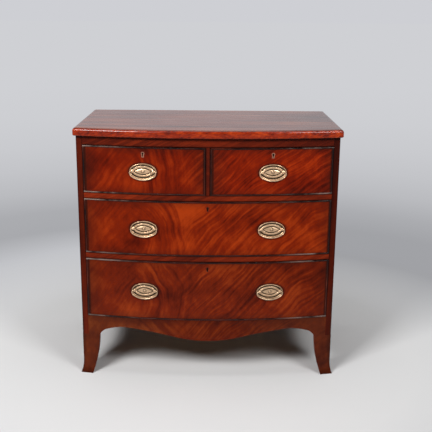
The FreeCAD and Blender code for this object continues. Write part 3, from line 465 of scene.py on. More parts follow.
def side_shade_and_darkening(finish, on_front):
    """On a side board: darker inside the case and low down, and a painted shade of on_front or
    more on its front edge, most at the outer arris.
    """
    x, _, z = finish.place()
    x = finish.size(x)
    inner = finish.times(finish.fade(x, *INSIDE, THICK), finish.span(z, *OVER_BOTTOM))
    # painted shade on the front edge, strongest at the outer arris
    front = finish.fade(finish.normal()[1], -0.8, -0.6)
    outer = finish.times(front, finish.span(x, *FRONT_EDGE, on_front, 0.7))
    return finish.most(inner, outer, finish.span(z, *LOW_DOWN, 0.42, THIN), ALL_OVER)


def rail_edge_shade_and_dirt(finish, box):
    """Dirt together with painted shade by the drawer gaps, along a rail's upper and lower edges.
    """
    z = finish.place()[2]
    level = finish.least(finish.less(z, box[0][2]), finish.less(box[1][2], z))
    return finish.fade(level, *RAIL_EDGE, THICK)


def post_edge_shade_and_dirt(finish):
    """Dirt together with painted shade by the drawer gaps, along both edges of the centre post."""
    return finish.span(finish.size(finish.place()[0]), *POST_EDGE, 0.0, THICK)


def base_darkening(finish):
    """Darker on a rear foot, most at its ground end."""
    return finish.span(finish.place()[2], *FOOT_END, 0.75, THIN)


# The top's colours, in screen values, each at its place in the figure.
TOP_FACE = ((0.34, (70, 28, 17)), (0.5, (118, 58, 38)), (0.66, (160, 92, 62)))
TOP_EDGE = ((0.36, (80, 14, 1)), (0.5, (141, 36, 2)), (0.64, (178, 60, 6)))
# the last of these is the colour of a painted dark reflection along the top's upper arris
TOP_WORN, TOP_MARKS, DARK_ARRIS_REFLECTION = linear(92, 44, 30), linear(190, 140, 112), linear(52, 16, 8)


def top_board(name):
    """The top: a broad board along X, with cross-banded veneer on its edge."""
    finish = Finish(name)
    x, y, z = spot = finish.place()
    streaks = finish.grain(spot, (1.2, 26, 8), 3.0, 0.55, 0.5)
    blotch = finish.grain(spot, (3, 5, 1))
    value = finish.add(finish.times(streaks, 0.65), finish.times(blotch, 0.35))
    face = finish.screen_ramp(value, TOP_FACE)
    # darker towards the right end
    darker_to_right = finish.span(x, 0.0, 0.45, 1.0, 0.6)
    face = finish.mix(1.0, face, darker_to_right, "MULTIPLY")
    worn = finish.grain(spot, (4, 6, 1), 3.0, 0.6)
    face = finish.mix(finish.span(worn, 0.42, 0.62, 0, 0.4), face, TOP_WORN)
    marks = finish.grain(spot, (26, 38, 1), 3.0, 0.65)
    face = finish.mix(finish.span(marks, 0.67, 0.73, 0, 0.3), face, TOP_MARKS)
    leaning = finish.less(x, finish.times(z, 1.4))
    fleck = finish.grain((leaning, y, z), (95, 30, 190), 3.0, 0.6, 0.3)
    broad = finish.grain(spot, (26, 12, 40))
    cross = finish.add(finish.times(fleck, 0.5), finish.times(broad, 0.5))
    level = finish.normal()[2]
    tone = finish.mix(finish.span(level, 0.75, 0.95), finish.screen_ramp(cross, TOP_EDGE), face)
    # painted dark reflection along the upper arris, where the edge rounds over from the face
    arris = finish.times(finish.span(level, 0.6, 0.8, 0, 0.7), finish.fade(level, 0.9, 0.985))
    tone = finish.mix(arris, tone, DARK_ARRIS_REFLECTION)
    scuffs = finish.grain(spot, (9, 30, 9), 4.0, 0.7)
    return finish.surface(
        Base_Color=tone, Roughness=finish.span(scuffs, 0.35, 0.75, 0.24, 0.32),
        Specular_IOR_Level=0.2, Coat_Weight=0.257, Coat_Roughness=0.1, Coat_IOR=1.5,
        Normal=finish.bump(finish.grain(spot, (40, 900, 900)), 0.0002, 0.1))


def beading(name, woods, box):
    """Nearly black old polish on the cockbeads, with a painted highlight on the level ones towards
    the sides.
    """
    finish = Finish(name)
    x, _, z = spot = finish.place()
    rub = finish.grain(spot, (12, 12, 12), 3.0, 0.6)
    tone = finish.ramp(rub, [(0.4, woods.bead_dark), (0.62, linear(70, 26, 16)),
                             (0.8, linear(104, 44, 26))])
    level = finish.least(finish.less(z, box[0][2]), finish.less(box[1][2], z))
    # a pale painted highlight towards the ends of the level beads
    painted_highlight = finish.times(finish.fade(level, 0.0045, 0.0065),
                          finish.span(finish.size(x), 0.24, 0.36, 0, 0.6))
    painted_highlight = finish.times(painted_highlight, finish.span(rub, 0.4, 0.6))
    tone = finish.mix(painted_highlight, tone, linear(150, 132, 122))
    fibres = finish.grain(spot, (90, 500, 500))
    return finish.surface(
        Base_Color=tone, Roughness=0.34, Specular_IOR_Level=0.1, Coat_Weight=0.28,
        Coat_Roughness=0.3, Coat_IOR=1.5, Normal=finish.bump(fibres, 0.0003, 0.2))


def bare_wood(name, grain, tone, shift, ring_scale=26.0, rough=0.62, age=0.35):
    """Unpolished secondary timber, with growth rings, long sweeps and old dirt."""
    finish = Finish(name)
    x, y, z = spot = finish.place((shift, -shift, shift * 0.4))
    along, across, through = cut = sorted_axes(grain, x, y, z)
    sweep = finish.grain(cut, (1.1, 4, 4))
    bent = finish.add(across, through, finish.times(sweep, 0.22))
    rings = finish.grain((finish.times(along, 0.02), bent, shift),
                         (ring_scale, ring_scale * 5, 1))
    fibres = finish.grain(cut, (14, 500, 500), 3.0)
    value = finish.add(finish.times(rings, 0.7), finish.times(fibres, 0.3))
    shade = finish.ramp(value, [(0.36, [c * 0.52 for c in tone]), (0.5, tone),
                                (0.64, [min(c * 1.25, 1) for c in tone])])
    soil = finish.span(finish.grain(spot, (6, 6, 6), 4.0, 0.65), 0.45, 0.72, 0, age)
    shade = finish.mix(soil, shade, [c * 0.3 for c in tone])
    return finish.surface(
        Base_Color=shade, Roughness=finish.span(fibres, 0.3, 0.7, rough + 0.1, rough),
        Specular_IOR_Level=0.3, Normal=finish.bump(value, 0.0006, 0.4))


def stamped_brass(name, brass, hollows=True):
    """Rubbed brass on the high parts, olive tarnish where the mesh says it is hollow."""
    finish = Finish(name)
    spot = finish.place()
    cloud = finish.grain(spot, (90, 90, 90), 3.0, 0.6)
    wear = finish.grain(spot, (600, 600, 600))
    tone = finish.ramp(cloud, [(0.3, [c * 0.8 for c in brass.bright]), (0.6, brass.bright)])
    # darker lower down the chest, below 0.75 m and most below 0.3 m
    darker_low = finish.span(spot[2], 0.3, 0.75, 0.78, 1.0)
    tone = finish.mix(1.0, tone, darker_low, "MULTIPLY")
    rough = finish.span(wear, 0.3, 0.7, 0.26, 0.34)
    if hollows:
        deep = finish.node("Attribute", attribute_name="hollow").outputs["Fac"]
        deep = finish.times(deep, finish.span(cloud, 0.3, 0.6, 0.88, 1.0))
        tone = finish.mix(deep, tone, brass.hollow)
        rough = finish.add(rough, finish.times(deep, 0.25))
    return finish.surface(Base_Color=tone, Metallic=0.7, Roughness=rough,
                          Specular_IOR_Level=0.5, Normal=finish.bump(wear, 0.0002, 0.08))


# Distances from the bow's axis. Past the first a lock is painted near-black, a painted shade in
# the keyhole's throat, and past the second, at the face, the keyhole's rim.
KEYHOLE_DEPTH = (BOW_RADIUS - 0.0150, BOW_RADIUS - 0.0146)
KEYHOLE_RIM = (BOW_RADIUS - 0.0012, BOW_RADIUS - 0.0006)
# colour of the painted shade in the keyhole's throat
KEYHOLE_PAINTED_SHADE = (0.004, 0.003, 0.002)
UPPER_RIM, LOWER_RIM = linear(164, 114, 92), linear(58, 30, 20)
RIM_HEIGHTS = (0.72, 0.78)  # from the long drawers' rims to the short drawers'


def dull_metal(name, tone, metallic, rough=0.45, keyhole=False):
    """Cast or filed metal, stained in patches. keyhole adds the rim and a painted shade behind it.
    """
    finish = Finish(name)
    x, y, z = spot = finish.place()
    cloud = finish.grain(spot, (140, 140, 140), 4.0, 0.6)
    filed = finish.grain(spot, (300, 300, 2400))
    shade = finish.ramp(cloud, [(0.35, [c * 0.4 for c in tone]), (0.6, tone)])
    if keyhole:
        reach = from_axis(finish, x, y)
        shade = finish.mix(finish.span(reach, *KEYHOLE_DEPTH), shade, KEYHOLE_PAINTED_SHADE)
        rim = finish.mix(finish.span(z, *RIM_HEIGHTS), LOWER_RIM, UPPER_RIM)
        rim = finish.mix(1.0, rim, finish.span(cloud, 0.35, 0.62, 0.6, 1.1), "MULTIPLY")
        shade = finish.mix(finish.span(reach, *KEYHOLE_RIM), shade, rim)
    return finish.surface(
        Base_Color=shade, Metallic=metallic,
        Roughness=finish.span(cloud, 0.3, 0.7, rough + 0.2, rough),
        Normal=finish.bump(filed, 0.0002, 0.3))


def soften(node, width):
    """Rounds a CAD piece's arrises a little, as a plane and years of polish leave them."""
    weld = node.modifiers.new("weld", "WELD")
    weld.merge_threshold = WELD_GAP
    round_off = node.modifiers.new("arris", "BEVEL")
    round_off.width = width
    round_off.segments = 2
    round_off.limit_method = "ANGLE"
    round_off.angle_limit = ARRIS_ANGLE
    round_off.use_clamp_overlap = True
    level = node.modifiers.new("even_shading", "WEIGHTED_NORMAL")
    level.keep_sharp = False


def finish_node(name, material, width=0.0):
    """Gives a CAD node its material, and softens its arrises where width isn't 0."""
    node = frame["nodes"][name]
    for slot in node.material_slots:
        slot.material = material
    if width:
        soften(node, width)


def piece_from(name, mesh, body, material, stands_for=()):
    """A new piece from a bmesh, riding on a body, in the finish of a material slot."""
    bmesh.ops.recalc_face_normals(mesh, faces=mesh.faces[:])
    for face in mesh.faces:
        face.smooth = True
    for edge in mesh.edges:
        edge.smooth = len(edge.link_faces) == 2 and edge.calc_face_angle() < SHARP
    data = bpy.data.meshes.new(name)
    mesh.to_mesh(data)
    mesh.free()
    piece = bpy.data.objects.new(name, data)
    bpy.context.scene.collection.objects.link(piece)
    data.materials.append(material)
    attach(piece, body)
    if stands_for:
        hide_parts(*stands_for)


def skin(mesh, rows):
    """Joins closed rows of vertices, each to the next, with bands of faces."""
    for low, high in zip(rows, rows[1:]):
        for k in range(len(low)):
            n = (k + 1) % len(low)
            mesh.faces.new((low[k], low[n], high[n], high[k]))


def cap(mesh, rows):
    """Closes the first and the last of a solid's rows with a flat face."""
    mesh.faces.new(rows[0][::-1])
    mesh.faces.new(rows[-1])


def fan(mesh, row, middle):
    """Closes a row with triangles that meet at a middle vertex."""
    for k in range(len(row)):
        mesh.faces.new((middle, row[k], row[(k + 1) % len(row)]))


def circle(count):
    """(cosine, sine) of a whole turn's even steps."""
    turns = [2 * math.pi * k / count for k in range(count)]
    return [(math.cos(turn), math.sin(turn)) for turn in turns]


def lathe(mesh, profile, to_world, turns=28):
    """Adds a turned solid. profile is (radius, height) from one end's centre to the other's."""
    spokes = circle(turns)
    rows = [[mesh.verts.new(to_world(radius * c, radius * s, height)) for c, s in spokes]
            for radius, height in profile[1:-1]]
    skin(mesh, rows)
    for row, (_, height) in ((rows[0], profile[0]), (rows[-1], profile[-1])):
        fan(mesh, row, mesh.verts.new(to_world(0, 0, height)))


TOP_ROUNDS = (0.005, 0.011)  # radii of the top board's edge, below and above
TOP_OVERHANG = 0.017  # of its bowed front past the drawer fronts
TOP_CORNER = 0.004  # how far its front corners are rounded
BOW_STEPS, CORNER_STEPS, UNDER_STEPS, OVER_STEPS = 80, 6, 5, 8


def top_outline(inset):
    """Plan of the top board, drawn in from its front and sides by inset."""
    _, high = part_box("top")
    half, rear = high[0] - inset, high[1]
    radius = BOW_RADIUS + TOP_OVERHANG - inset

    def front(x):
        return Vector((x, BOW_AXIS - math.sqrt(radius ** 2 - x ** 2)))

    ends = half - TOP_CORNER
    bow = [front(-ends + 2 * ends * k / BOW_STEPS) for k in range(BOW_STEPS + 1)]
    corner, after = front(half), front(half) + Vector((0, TOP_CORNER))
    right = []
    for k in range(1, CORNER_STEPS):
        t = k / CORNER_STEPS
        right.append(bow[-1] * (1 - t) ** 2 + corner * 2 * t * (1 - t) + after * t * t)
    right += [after, Vector((half, 0)), Vector((half, rear))]
    return bow + right + [Vector((-q.x, q.y)) for q in reversed(right)]


def top_mesh():
    """The top board as one closed mesh, its edge rounded more above than below."""
    low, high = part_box("top")
    under, over = TOP_ROUNDS
    levels = [(low[2], 2 * under)]
    for k in range(UNDER_STEPS + 1):
        turn = math.pi / 2 * k / UNDER_STEPS
        levels.append((low[2] + under * (1 - math.cos(turn)), under * (1 - math.sin(turn))))
    for k in range(OVER_STEPS + 1):
        turn = math.pi / 2 * k / OVER_STEPS
        levels.append((high[2] - over * (1 - math.sin(turn)), over * (1 - math.cos(turn))))
    levels.append((high[2], 2 * over))
    mesh = bmesh.new()
    rows = [[mesh.verts.new((q.x, q.y, z)) for q in top_outline(inset)] for z, inset in levels]
    skin(mesh, rows)
    cap(mesh, rows)
    return mesh


def handle_seats():
    """Each handle's drawer, bail and seat: origin on the front, and across, up and out of it."""
    seats = []
    for joint in frame["joints"]:
        if joint["name"].endswith("_bail_swing"):
            across = -Vector(joint["axis"])
            out = Vector((across.y, -across.x, 0))
            seats.append({"drawer": joint["parent"], "bail": joint["child"],
                          "turn": Matrix((across, UP, out)).transposed(),
                          "origin": Vector(joint["pos_m"]) - out * PIVOT_OUT})
    return seats


def seated(seat, x, up, out):
    """A point given across, up and out from a handle's seat, in the world."""
    return seat["origin"] + seat["turn"] @ Vector((x, up, out))


def seats_on(drawer):
    """The seats of a drawer's one or two handles."""
    return [seat for seat in handle_seats() if seat["drawer"] == drawer]


def ease(value, low, high):
    """0 below low, 1 above high, smooth between."""
    step = min(max((value - low) / (high - low), 0), 1)
    return step * step * (3 - 2 * step)


def ridge(value, rise, fall):
    """0 before rise, 1 between rise and fall, and 0 again after fall."""
    return ease(value, *rise) * (1 - ease(value, *fall))


def lens_depth(x, z, half_width, half_height):
    """How far a point is inside a pointed oval; negative outside."""
    radius = (half_width ** 2 + half_height ** 2) / (2 * half_height)
    return radius - math.hypot(x, abs(z) + radius - half_height)


def oval_depth(x, z, half_width, half_height):
    """How far a point is inside an oval; negative outside."""
    value = (x / half_width) ** 2 + (z / half_height) ** 2 - 1
    slope = 2 * math.hypot(x / half_width ** 2, z / half_height ** 2)
    return -value / max(slope, 1e-3 / half_height)


# A plate's outline and the forms stamped in it, as half widths and half heights in metres.
PLATE = (0.0465, 0.027)
RING = (0.0368, 0.0192)
RING_EYE = (0.0318, 0.0122)
EYE = (0.0292, 0.0098)
PLATE_GROUND, EYE_RISE = 0.0012, 0.0015
BOSS, BOSS_RISE, MOAT_DEPTH = 0.0052, 0.0016, 0.0003  # the middle boss, a moat round it
BEADS, BEAD_RISE, BEAD_SQUASH = 40, 0.0002, 0.6  # beads round the ring's outer slope
SPOKES = 132


def plate_relief(x, z, brass):
    """(height, hollow) of the stamped plate over its back, at a point on it."""
    inset, in_ring = oval_depth(x, z, *PLATE), oval_depth(x, z, *RING)
    in_hole, in_eye = lens_depth(x, z, *RING_EYE), lens_depth(x, z, *EYE)
    from_middle = math.hypot(x, z)
    rim = ridge(inset, (-0.0002, 0.0010), (0.0020, 0.0034))
    ring = ease(in_ring, 0, 0.0018) * (1 - ease(in_hole, -0.0016, 0))
    eye = ease(in_eye, -0.0004, 0.0050)
    boss = 1 - ease(from_middle, BOSS * 0.45, BOSS)
    moat = ease(BOSS * 1.5 - from_middle, 0, BOSS * 0.5) * (1 - boss)
    beads = math.cos(math.atan2(z / BEAD_SQUASH, x) * BEADS)
    beads *= ridge(in_ring, (0.0002, 0.001), (0.0016, 0.0024))
    height = PLATE_GROUND + rim * brass.rim + ring * brass.relief + eye * EYE_RISE \
        + boss * BOSS_RISE - moat * MOAT_DEPTH + beads * BEAD_RISE
    first = ease(inset, 0.0024, 0.0038) * (1 - ease(in_ring, 0, 0.0010))
    second = ease(in_hole, -0.0010, 0) * (1 - ease(in_eye, 0.0004, 0.0022))
    return height, max(first, second, moat * 0.8)


def plate_mesh(seat, brass, mesh, hollow_layer):
    """Adds one stamped plate: a closed pad whose face carries the relief."""
    spokes = circle(SPOKES)

    def point(x, z, on_face=True):
        height, hollow = plate_relief(x, z, brass) if on_face else (0.0, 0.0)
        vertex = mesh.verts.new(seated(seat, x, z, height - x * x / (2 * BOW_RADIUS)))
        vertex[hollow_layer] = hollow
        return vertex

    def ring(reach, on_face=True):
        return [point(reach * PLATE[0] * c, reach * PLATE[1] * s, on_face) for c, s in spokes]

    rows = [ring(1.0, False)] + [ring(1 - k / brass.rings) for k in range(brass.rings)]
    skin(mesh, rows)
    fan(mesh, rows[-1], point(0, 0))
    mesh.faces.new(rows[0][::-1])


# (radius, distance out from the drawer's face) along a post and along its nut.
POST_PROFILE = [
    (0, -0.0285), (0.0024, -0.0285), (0.0026, -0.0280), (0.0026, 0.0024), (0.0056, 0.0024),
    (0.0060, 0.0028), (0.0058, 0.0034), (0.0040, 0.0040), (0.0036, 0.0044), (0.0040, 0.0049),
    (0.0046, 0.0056), (0.0046, 0.0064), (0.0040, 0.0072), (0.0028, 0.0078), (0.0014, 0.0081),
    (0, 0.0082)]
NUT_PROFILE = [(0, -0.0286), (0.0064, -0.0284), (0.0070, -0.0276), (0.0070, -0.0258),
               (0.0068, -0.0250), (0.0060, -0.0246), (0, -0.0246)]
NUT_SIDES = 8


def post_mesh(seat, mesh):
    """Adds both posts of a handle, each with its nut behind the drawer front."""
    for x in (-POST_X, POST_X):
        def post_spot(a, b, out, x=x):
            return seated(seat, x + a, b, out)
        lathe(mesh, POST_PROFILE, post_spot)
        lathe(mesh, NUT_PROFILE, post_spot, NUT_SIDES)


# Half a bail's width, its drop, the radii of its sides and elbows, and where its pins end.
BAIL = {"half": 0.045, "drop": 0.029, "side": 0.017, "elbow": 0.004, "pin": 0.0332}
ROD_RADIUS, ROD_FULLER, PIN_RADIUS, ROD_SIDES = 0.0021, 0.0005, 0.0018, 14
FULLER_DROP = (0.004, 0.028)  # below the pins, where the rod grows fuller
PIN_END, PIN_DROP = POST_X + 0.0050, 0.001  # how far out and down the rod is a pin
ELBOW_STEPS, SWEEP_STEPS = 6, 14


def bail_line():
    """Points (across, up) along a bail, from its left pin to its right one."""
    half, drop, side, elbow = (BAIL[key] for key in ("half", "drop", "side", "elbow"))
    deep, across = drop - elbow, half - side
    broad = (across ** 2 + deep ** 2 - side ** 2) / (2 * (deep - side))
    lean = math.atan2(across, broad - deep)

    def arc(x, z, radius, first, last, steps):
        turns = [first + (last - first) * k / steps for k in range(1, steps + 1)]
        return [(x + radius * math.cos(turn), z + radius * math.sin(turn)) for turn in turns]

    right = [(BAIL["pin"], 0), (half - elbow - 0.001, 0), (half - elbow, 0)]
    right += arc(half - elbow, -elbow, elbow, math.pi / 2, 0, ELBOW_STEPS)
    right += arc(across, -elbow, side, 0, lean - math.pi / 2, SWEEP_STEPS)
    right += arc(0, broad - drop, broad, lean - math.pi / 2, -math.pi / 2, SWEEP_STEPS)
    left = [(-x, z) for x, z in reversed(right[:-1])]
    return right + left


def bail_mesh(seat, mesh):
    """Adds a bail: round rod, fuller at the bottom, with pins into the posts."""
    line, spokes = bail_line(), circle(ROD_SIDES)
    rows = []
    for k, (x, z) in enumerate(line):
        before, after = line[max(k - 1, 0)], line[min(k + 1, len(line) - 1)]
        run = Vector((after[0] - before[0], after[1] - before[1])).normalized()
        radius = ROD_RADIUS + ROD_FULLER * ease(-z, *FULLER_DROP)
        if abs(x) < PIN_END and z > -PIN_DROP:
            radius = PIN_RADIUS
        rows.append([mesh.verts.new(seated(seat, x - run.y * radius * c, z + run.x * radius * c,
                                           PIVOT_OUT + radius * s)) for c, s in spokes])
    skin(mesh, rows)
    cap(mesh, rows)


SLOT_SHARE = 0.16  # half a screw's slot, as a share of its head's radius
SUNK = 0.0002  # how far the head's underside is let in
HALF_STEPS = 12


def slotted_head(mesh, radius, rise, to_world, slant):
    """Adds a screw's head: a disc with two raised halves either side of its slot."""
    slot = radius * SLOT_SHARE
    lathe(mesh, [(0, -SUNK), (radius, -SUNK), (radius, rise * 0.4), (0, rise * 0.4)],
          to_world, 2 * HALF_STEPS)
    start = math.asin(slot / radius)
    arc = [start + (math.pi - 2 * start) * k / HALF_STEPS for k in range(HALF_STEPS + 1)]
    for side in (1, -1):
        rim = [(radius * 0.97 * math.cos(a), side * radius * 0.97 * math.sin(a)) for a in arc]
        rows = []
        for reach, height in ((1.0, rise * 0.3), (1.0, rise * 0.8), (0.86, rise)):
            row = []
            for a, b in rim:
                b = side * max(abs(b) * reach, slot)
                across = a * reach * math.cos(slant) - b * math.sin(slant)
                along = a * reach * math.sin(slant) + b * math.cos(slant)
                row.append(mesh.verts.new(to_world(across, along, height)))
            rows.append(row)
        skin(mesh, rows)
        cap(mesh, rows)


# Across and up from the middle of a lock's top edge, and the heads' radius and height.
LOCK_SCREWS = ((-0.0215, -0.0070), (0.0215, -0.0070), (-0.0215, -0.0350), (0.0215, -0.0350))
SCREW_HEAD = (0.0030, 0.0007)


def lock_seat(drawer):
    """The middle of a lock's top edge on the drawer front's inner face, and its frame."""
    low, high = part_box(f"{drawer}_lock")
    station = (low[0] + high[0]) / 2 if "short" in drawer else 0.0
    turn = math.asin(station / BOW_RADIUS)
    out = Vector((math.sin(turn), -math.cos(turn), 0))
    across = Vector((math.cos(turn), math.sin(turn), 0))
    centre = Vector((0, BOW_AXIS, 0)) + out * (BOW_RADIUS - FRONT_THICKNESS)
    return Vector((centre.x, centre.y, high[2])), across, out


BACK_BOARDS = 4
NAIL_SHARES = (0.16, 0.84)  # across each board
NAIL_ROWS = (0.4515, 0.6700)  # heights of the rows between the lowest and the highest
NAIL_INSETS = (0.012, 0.014)  # of the lowest row and the highest from the boards' ends
NAIL_DRIFT = (0.006, 0.003)  # how far a nail stands off its place, across and up
NAIL_RADII = (0.0030, 0.0038)
NAIL_SIDES = 9


def back_nails(mesh):
    """Adds the nails that hold the back boards, a pair to each board in every row."""
    low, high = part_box("back_boards")
    dice = random.Random(7)
    heights = (low[2] + NAIL_INSETS[0], *NAIL_ROWS, high[2] - NAIL_INSETS[1])
    for k in range(BACK_BOARDS):
        for share_across in NAIL_SHARES:
            x = low[0] + (high[0] - low[0]) * (k + share_across) / BACK_BOARDS
            for z in heights:
                across, up = (dice.uniform(-drift, drift) for drift in NAIL_DRIFT)
                spot = Vector((x + across, high[1], z + up))
                radius = dice.uniform(*NAIL_RADII)

                def nail_spot(a, b, out, spot=spot):
                    return spot + Vector((a, out, b))
                lathe(mesh, [(0, -0.0004), (radius, -0.0004), (radius * 0.96, 0.0004),
                             (radius * 0.6, 0.0011), (0, 0.0014)], nail_spot, NAIL_SIDES)


FRONT_FACE_SHADE = {"left_side": 0.42, "right_side": 0.58}  # how dark their front edges are painted: painted shade, stronger on the right side
RAIL_BRIGHT = {"frieze_rail": 0.4, "upper_rail": 0.78, "lower_rail": 0.78}  # from 0 to 1
PINE_GRAIN = {"carcase_bottom": "X", "dustboards": "X", "drawer_runners": "Y",
              "kickers": "Y", "drawer_stops": "X", "back_boards": "Z"}
UNDERSIDE = 0.4  # the carcase bottom's tone, as a share of the other pine's
SHEET_SHIFT = 21.0  # the apron and the front feet are dressed from one sheet of veneer


class BOWCHEST_OT_carcase(Operator):
    """Polishes the carcase: top, sides, rails, post, apron and feet, and its bare inside."""

    bl_idname = "bow_chest.carcase"
    bl_label = "Carcase"

    def execute(self, context):
        woods = context.scene.bow_chest.woods
        piece_from("top_board", top_mesh(), "carcase", top_board("top_polish"),
                   ["top"])
        for k, (side, on_front) in enumerate(FRONT_FACE_SHADE.items()):
            wood = mahogany(f"{side}_wood", "Z", 1.7 + k, woods,
                            partial(side_shade_and_darkening, on_front=on_front), figure_share=0.08, bright=0.44)
            finish_node(side, wood, BROAD_ARRIS)
        for k, (rail, bright) in enumerate(RAIL_BRIGHT.items()):
            wood = mahogany(f"{rail}_wood", "X", 3.1 * k, woods,
                            partial(rail_edge_shade_and_dirt, box=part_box(rail)), figure_share=0.38,
                            bright=bright, slant=-2.2)
            finish_node(rail, wood, NARROW_ARRIS)
        post = mahogany("post_wood", "Z", 8.3, woods, post_edge_shade_and_dirt, figure_share=0.2, bright=0.5)
        finish_node("centre_post", post, NARROW_ARRIS)
        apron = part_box("apron")
        sheet = ((-0.5, 0, -0.06), (0.5, 0, apron[1][2] + 0.004))
        finish_node("apron", flame_veneer("apron_veneer", SHEET_SHIFT, sheet, woods, APRON_TINT))
        for side in ("left", "right"):
            front = flame_veneer(f"{side}_front_foot_veneer", SHEET_SHIFT, sheet, woods,
                                 APRON_TINT, upright_core=True)
            finish_node(f"{side}_front_foot", front, BROAD_ARRIS)
            rear = mahogany(f"{side}_rear_foot_wood", "Z", 11.0, woods, base_darkening,
                            figure_share=0.12, bright=0.4)
            finish_node(f"{side}_rear_foot", rear, BROAD_ARRIS)
        for k, (node, grain) in enumerate(PINE_GRAIN.items()):
            tone = woods.pine_mid
            if node == "carcase_bottom":
                tone = [channel * UNDERSIDE for channel in tone]
            finish_node(node, bare_wood(f"{node}_pine", grain, tone, 5.0 + k), NARROW_ARRIS)
        return {"FINISHED"}


VENEERS = {
    "right_short_drawer": {"tint": (1.04, 0.92, 0.7), "strength": 0.8},
    "left_short_drawer": {"tint": (0.86, 0.78, 0.6), "strength": 0.8},
    "middle_drawer": {"tint": (1.0, 1.1, 0.93), "heart": 0.12},
    "bottom_drawer": {"tint": (0.79, 1.06, 1.25)}}
LINING_GRAIN = {"sides": "Y", "back": "X", "bottom": "X"}


class BOWCHEST_OT_drawers(Operator):
    """Veneers the bowed drawer fronts, blackens their cockbeads and lines the drawers."""

    bl_idname = "bow_chest.drawers"
    bl_label = "Drawers"

    def execute(self, context):
        woods = context.scene.bow_chest.woods
        for k, drawer in enumerate(DRAWERS):
            front, beads = f"{drawer}_front", f"{drawer}_cockbeads"
            handle_z = seats_on(drawer)[0]["origin"].z
            finish_node(front, flame_veneer(f"{drawer}_veneer", 2.7 * k + 1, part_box(front),
                                            woods, handle_z=handle_z, **VENEERS[drawer]))
            finish_node(beads, beading(f"{beads}_polish", woods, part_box(beads)))
            for part, grain in LINING_GRAIN.items():
                oak = bare_wood(f"{drawer}_{part}_oak", grain, woods.oak_mid, 2.0 + k,
                                ring_scale=40.0, rough=0.55, age=0.25)
                finish_node(f"{drawer}_{part}", oak, LINING_ARRIS)
        return {"FINISHED"}


class BOWCHEST_OT_plates(Operator):
    """Stamps the oval brass plates of the six handles."""

    bl_idname = "bow_chest.plates"
    bl_label = "Handle plates"

    def execute(self, context):
        brass = context.scene.bow_chest.brass
        metal = stamped_brass("plate_brass", brass)
        for drawer in DRAWERS:
            seats = seats_on(drawer)
            mesh = bmesh.new()
            layer = mesh.verts.layers.float.new("hollow")
            for seat in seats:
                plate_mesh(seat, brass, mesh, layer)
            node = f"{drawer}_handle_plate" + ("s" if len(seats) > 1 else "")
            piece_from(f"{drawer}_stamped_plates", mesh, drawer, metal, [node])
        return {"FINISHED"}


class BOWCHEST_OT_posts(Operator):
    """Turns the handles' posts and the nuts that hold them inside the drawers."""

    bl_idname = "bow_chest.posts"
    bl_label = "Handle posts"

    def execute(self, context):
        metal = stamped_brass("post_brass", context.scene.bow_chest.brass, hollows=False)
        for drawer in DRAWERS:
            mesh = bmesh.new()
            for seat in seats_on(drawer):
                post_mesh(seat, mesh)
            piece_from(f"{drawer}_turned_posts", mesh, drawer, metal,
                       [f"{drawer}_handle_posts"])
        return {"FINISHED"}


class BOWCHEST_OT_bails(Operator):
    """Bends the six swinging bails."""

    bl_idname = "bow_chest.bails"
    bl_label = "Bails"

    def execute(self, context):
        metal = stamped_brass("bail_brass", context.scene.bow_chest.brass, hollows=False)
        for seat in handle_seats():
            mesh = bmesh.new()
            bail_mesh(seat, mesh)
            piece_from(f"{seat['bail']}_bent_rod", mesh, seat["bail"], metal,
                       [seat["bail"]])
        return {"FINISHED"}


class BOWCHEST_OT_locks(Operator):
    """Finishes the locks, their keyhole rims and their bolts."""

    bl_idname = "bow_chest.locks"
    bl_label = "Locks"

    def execute(self, context):
        brass = context.scene.bow_chest.brass
        case = dull_metal("lock_case_brass", brass.lock, 0.5, keyhole=True)
        bolt = dull_metal("lock_bolt_brass", [c * 1.1 for c in brass.lock], 0.9, 0.35)
        for drawer in DRAWERS:
            finish_node(f"{drawer}_lock", case, METAL_ARRIS)
            finish_node(f"{drawer}_lock_bolt", bolt, METAL_ARRIS)
        return {"FINISHED"}


class BOWCHEST_OT_fixings(Operator):
    """Drives the locks' screws and the nails of the back boards."""

    bl_idname = "bow_chest.fixings"
    bl_label = "Screws and nails"

    def execute(self, context):
        steel = dull_metal("screw_steel", linear(120, 112, 100), 0.9, 0.42)
        iron = dull_metal("nail_iron", linear(62, 50, 42), 0.7, 0.6)
        dice = random.Random(3)
        for drawer in DRAWERS:
            middle, across, out = lock_seat(drawer)
            mesh = bmesh.new()
            for x, z in LOCK_SCREWS:
                def head_spot(a, b, rise, x=x, z=z):
                    return middle + across * (x + a) + UP * (z + b) - out * rise
                slotted_head(mesh, *SCREW_HEAD, head_spot, dice.uniform(0, math.pi))
            piece_from(f"{drawer}_lock_screws", mesh, drawer, steel)
        mesh = bmesh.new()
        back_nails(mesh)
        piece_from("back_board_nails", mesh, "carcase", iron)
        return {"FINISHED"}


FLOOR_REACH = 80.0
CORNERS = ((-1, -1), (1, -1), (1, 1), (-1, 1))
BACKDROP_BAND = (0.8, 1.5)  # distance over which the matt floor turns into backdrop
LAMP_BAND = (1.0, 1.6)  # distance over which the floor stops lighting the chest

# The backdrop's grey goes by HORIZON_RISE - HORIZON_FALL / (distance + HORIZON_NEAR), which grows
# more slowly further out, as a floor rises to its horizon. Each tone is a share of HORIZON_SPAN
# and a screen value, and near the chest its left and right have their own. The right's darker
# tones are a painted shadow of the chest.
HORIZON_RISE, HORIZON_FALL, HORIZON_NEAR = 1.2947, 6.108, 2.8176
HORIZON_SPAN = (-0.35, 1.3)
LEFT_TONES = ((0.0, 226), (0.12, 200), (0.212, 169))
RIGHT_SHADOWED_TONES = ((0.0, 200), (0.12, 161), (0.212, 162))
FAR_TONES = ((0.279, 172), (0.352, 187), (0.43, 196), (0.51, 202), (0.61, 206), (0.73, 208))


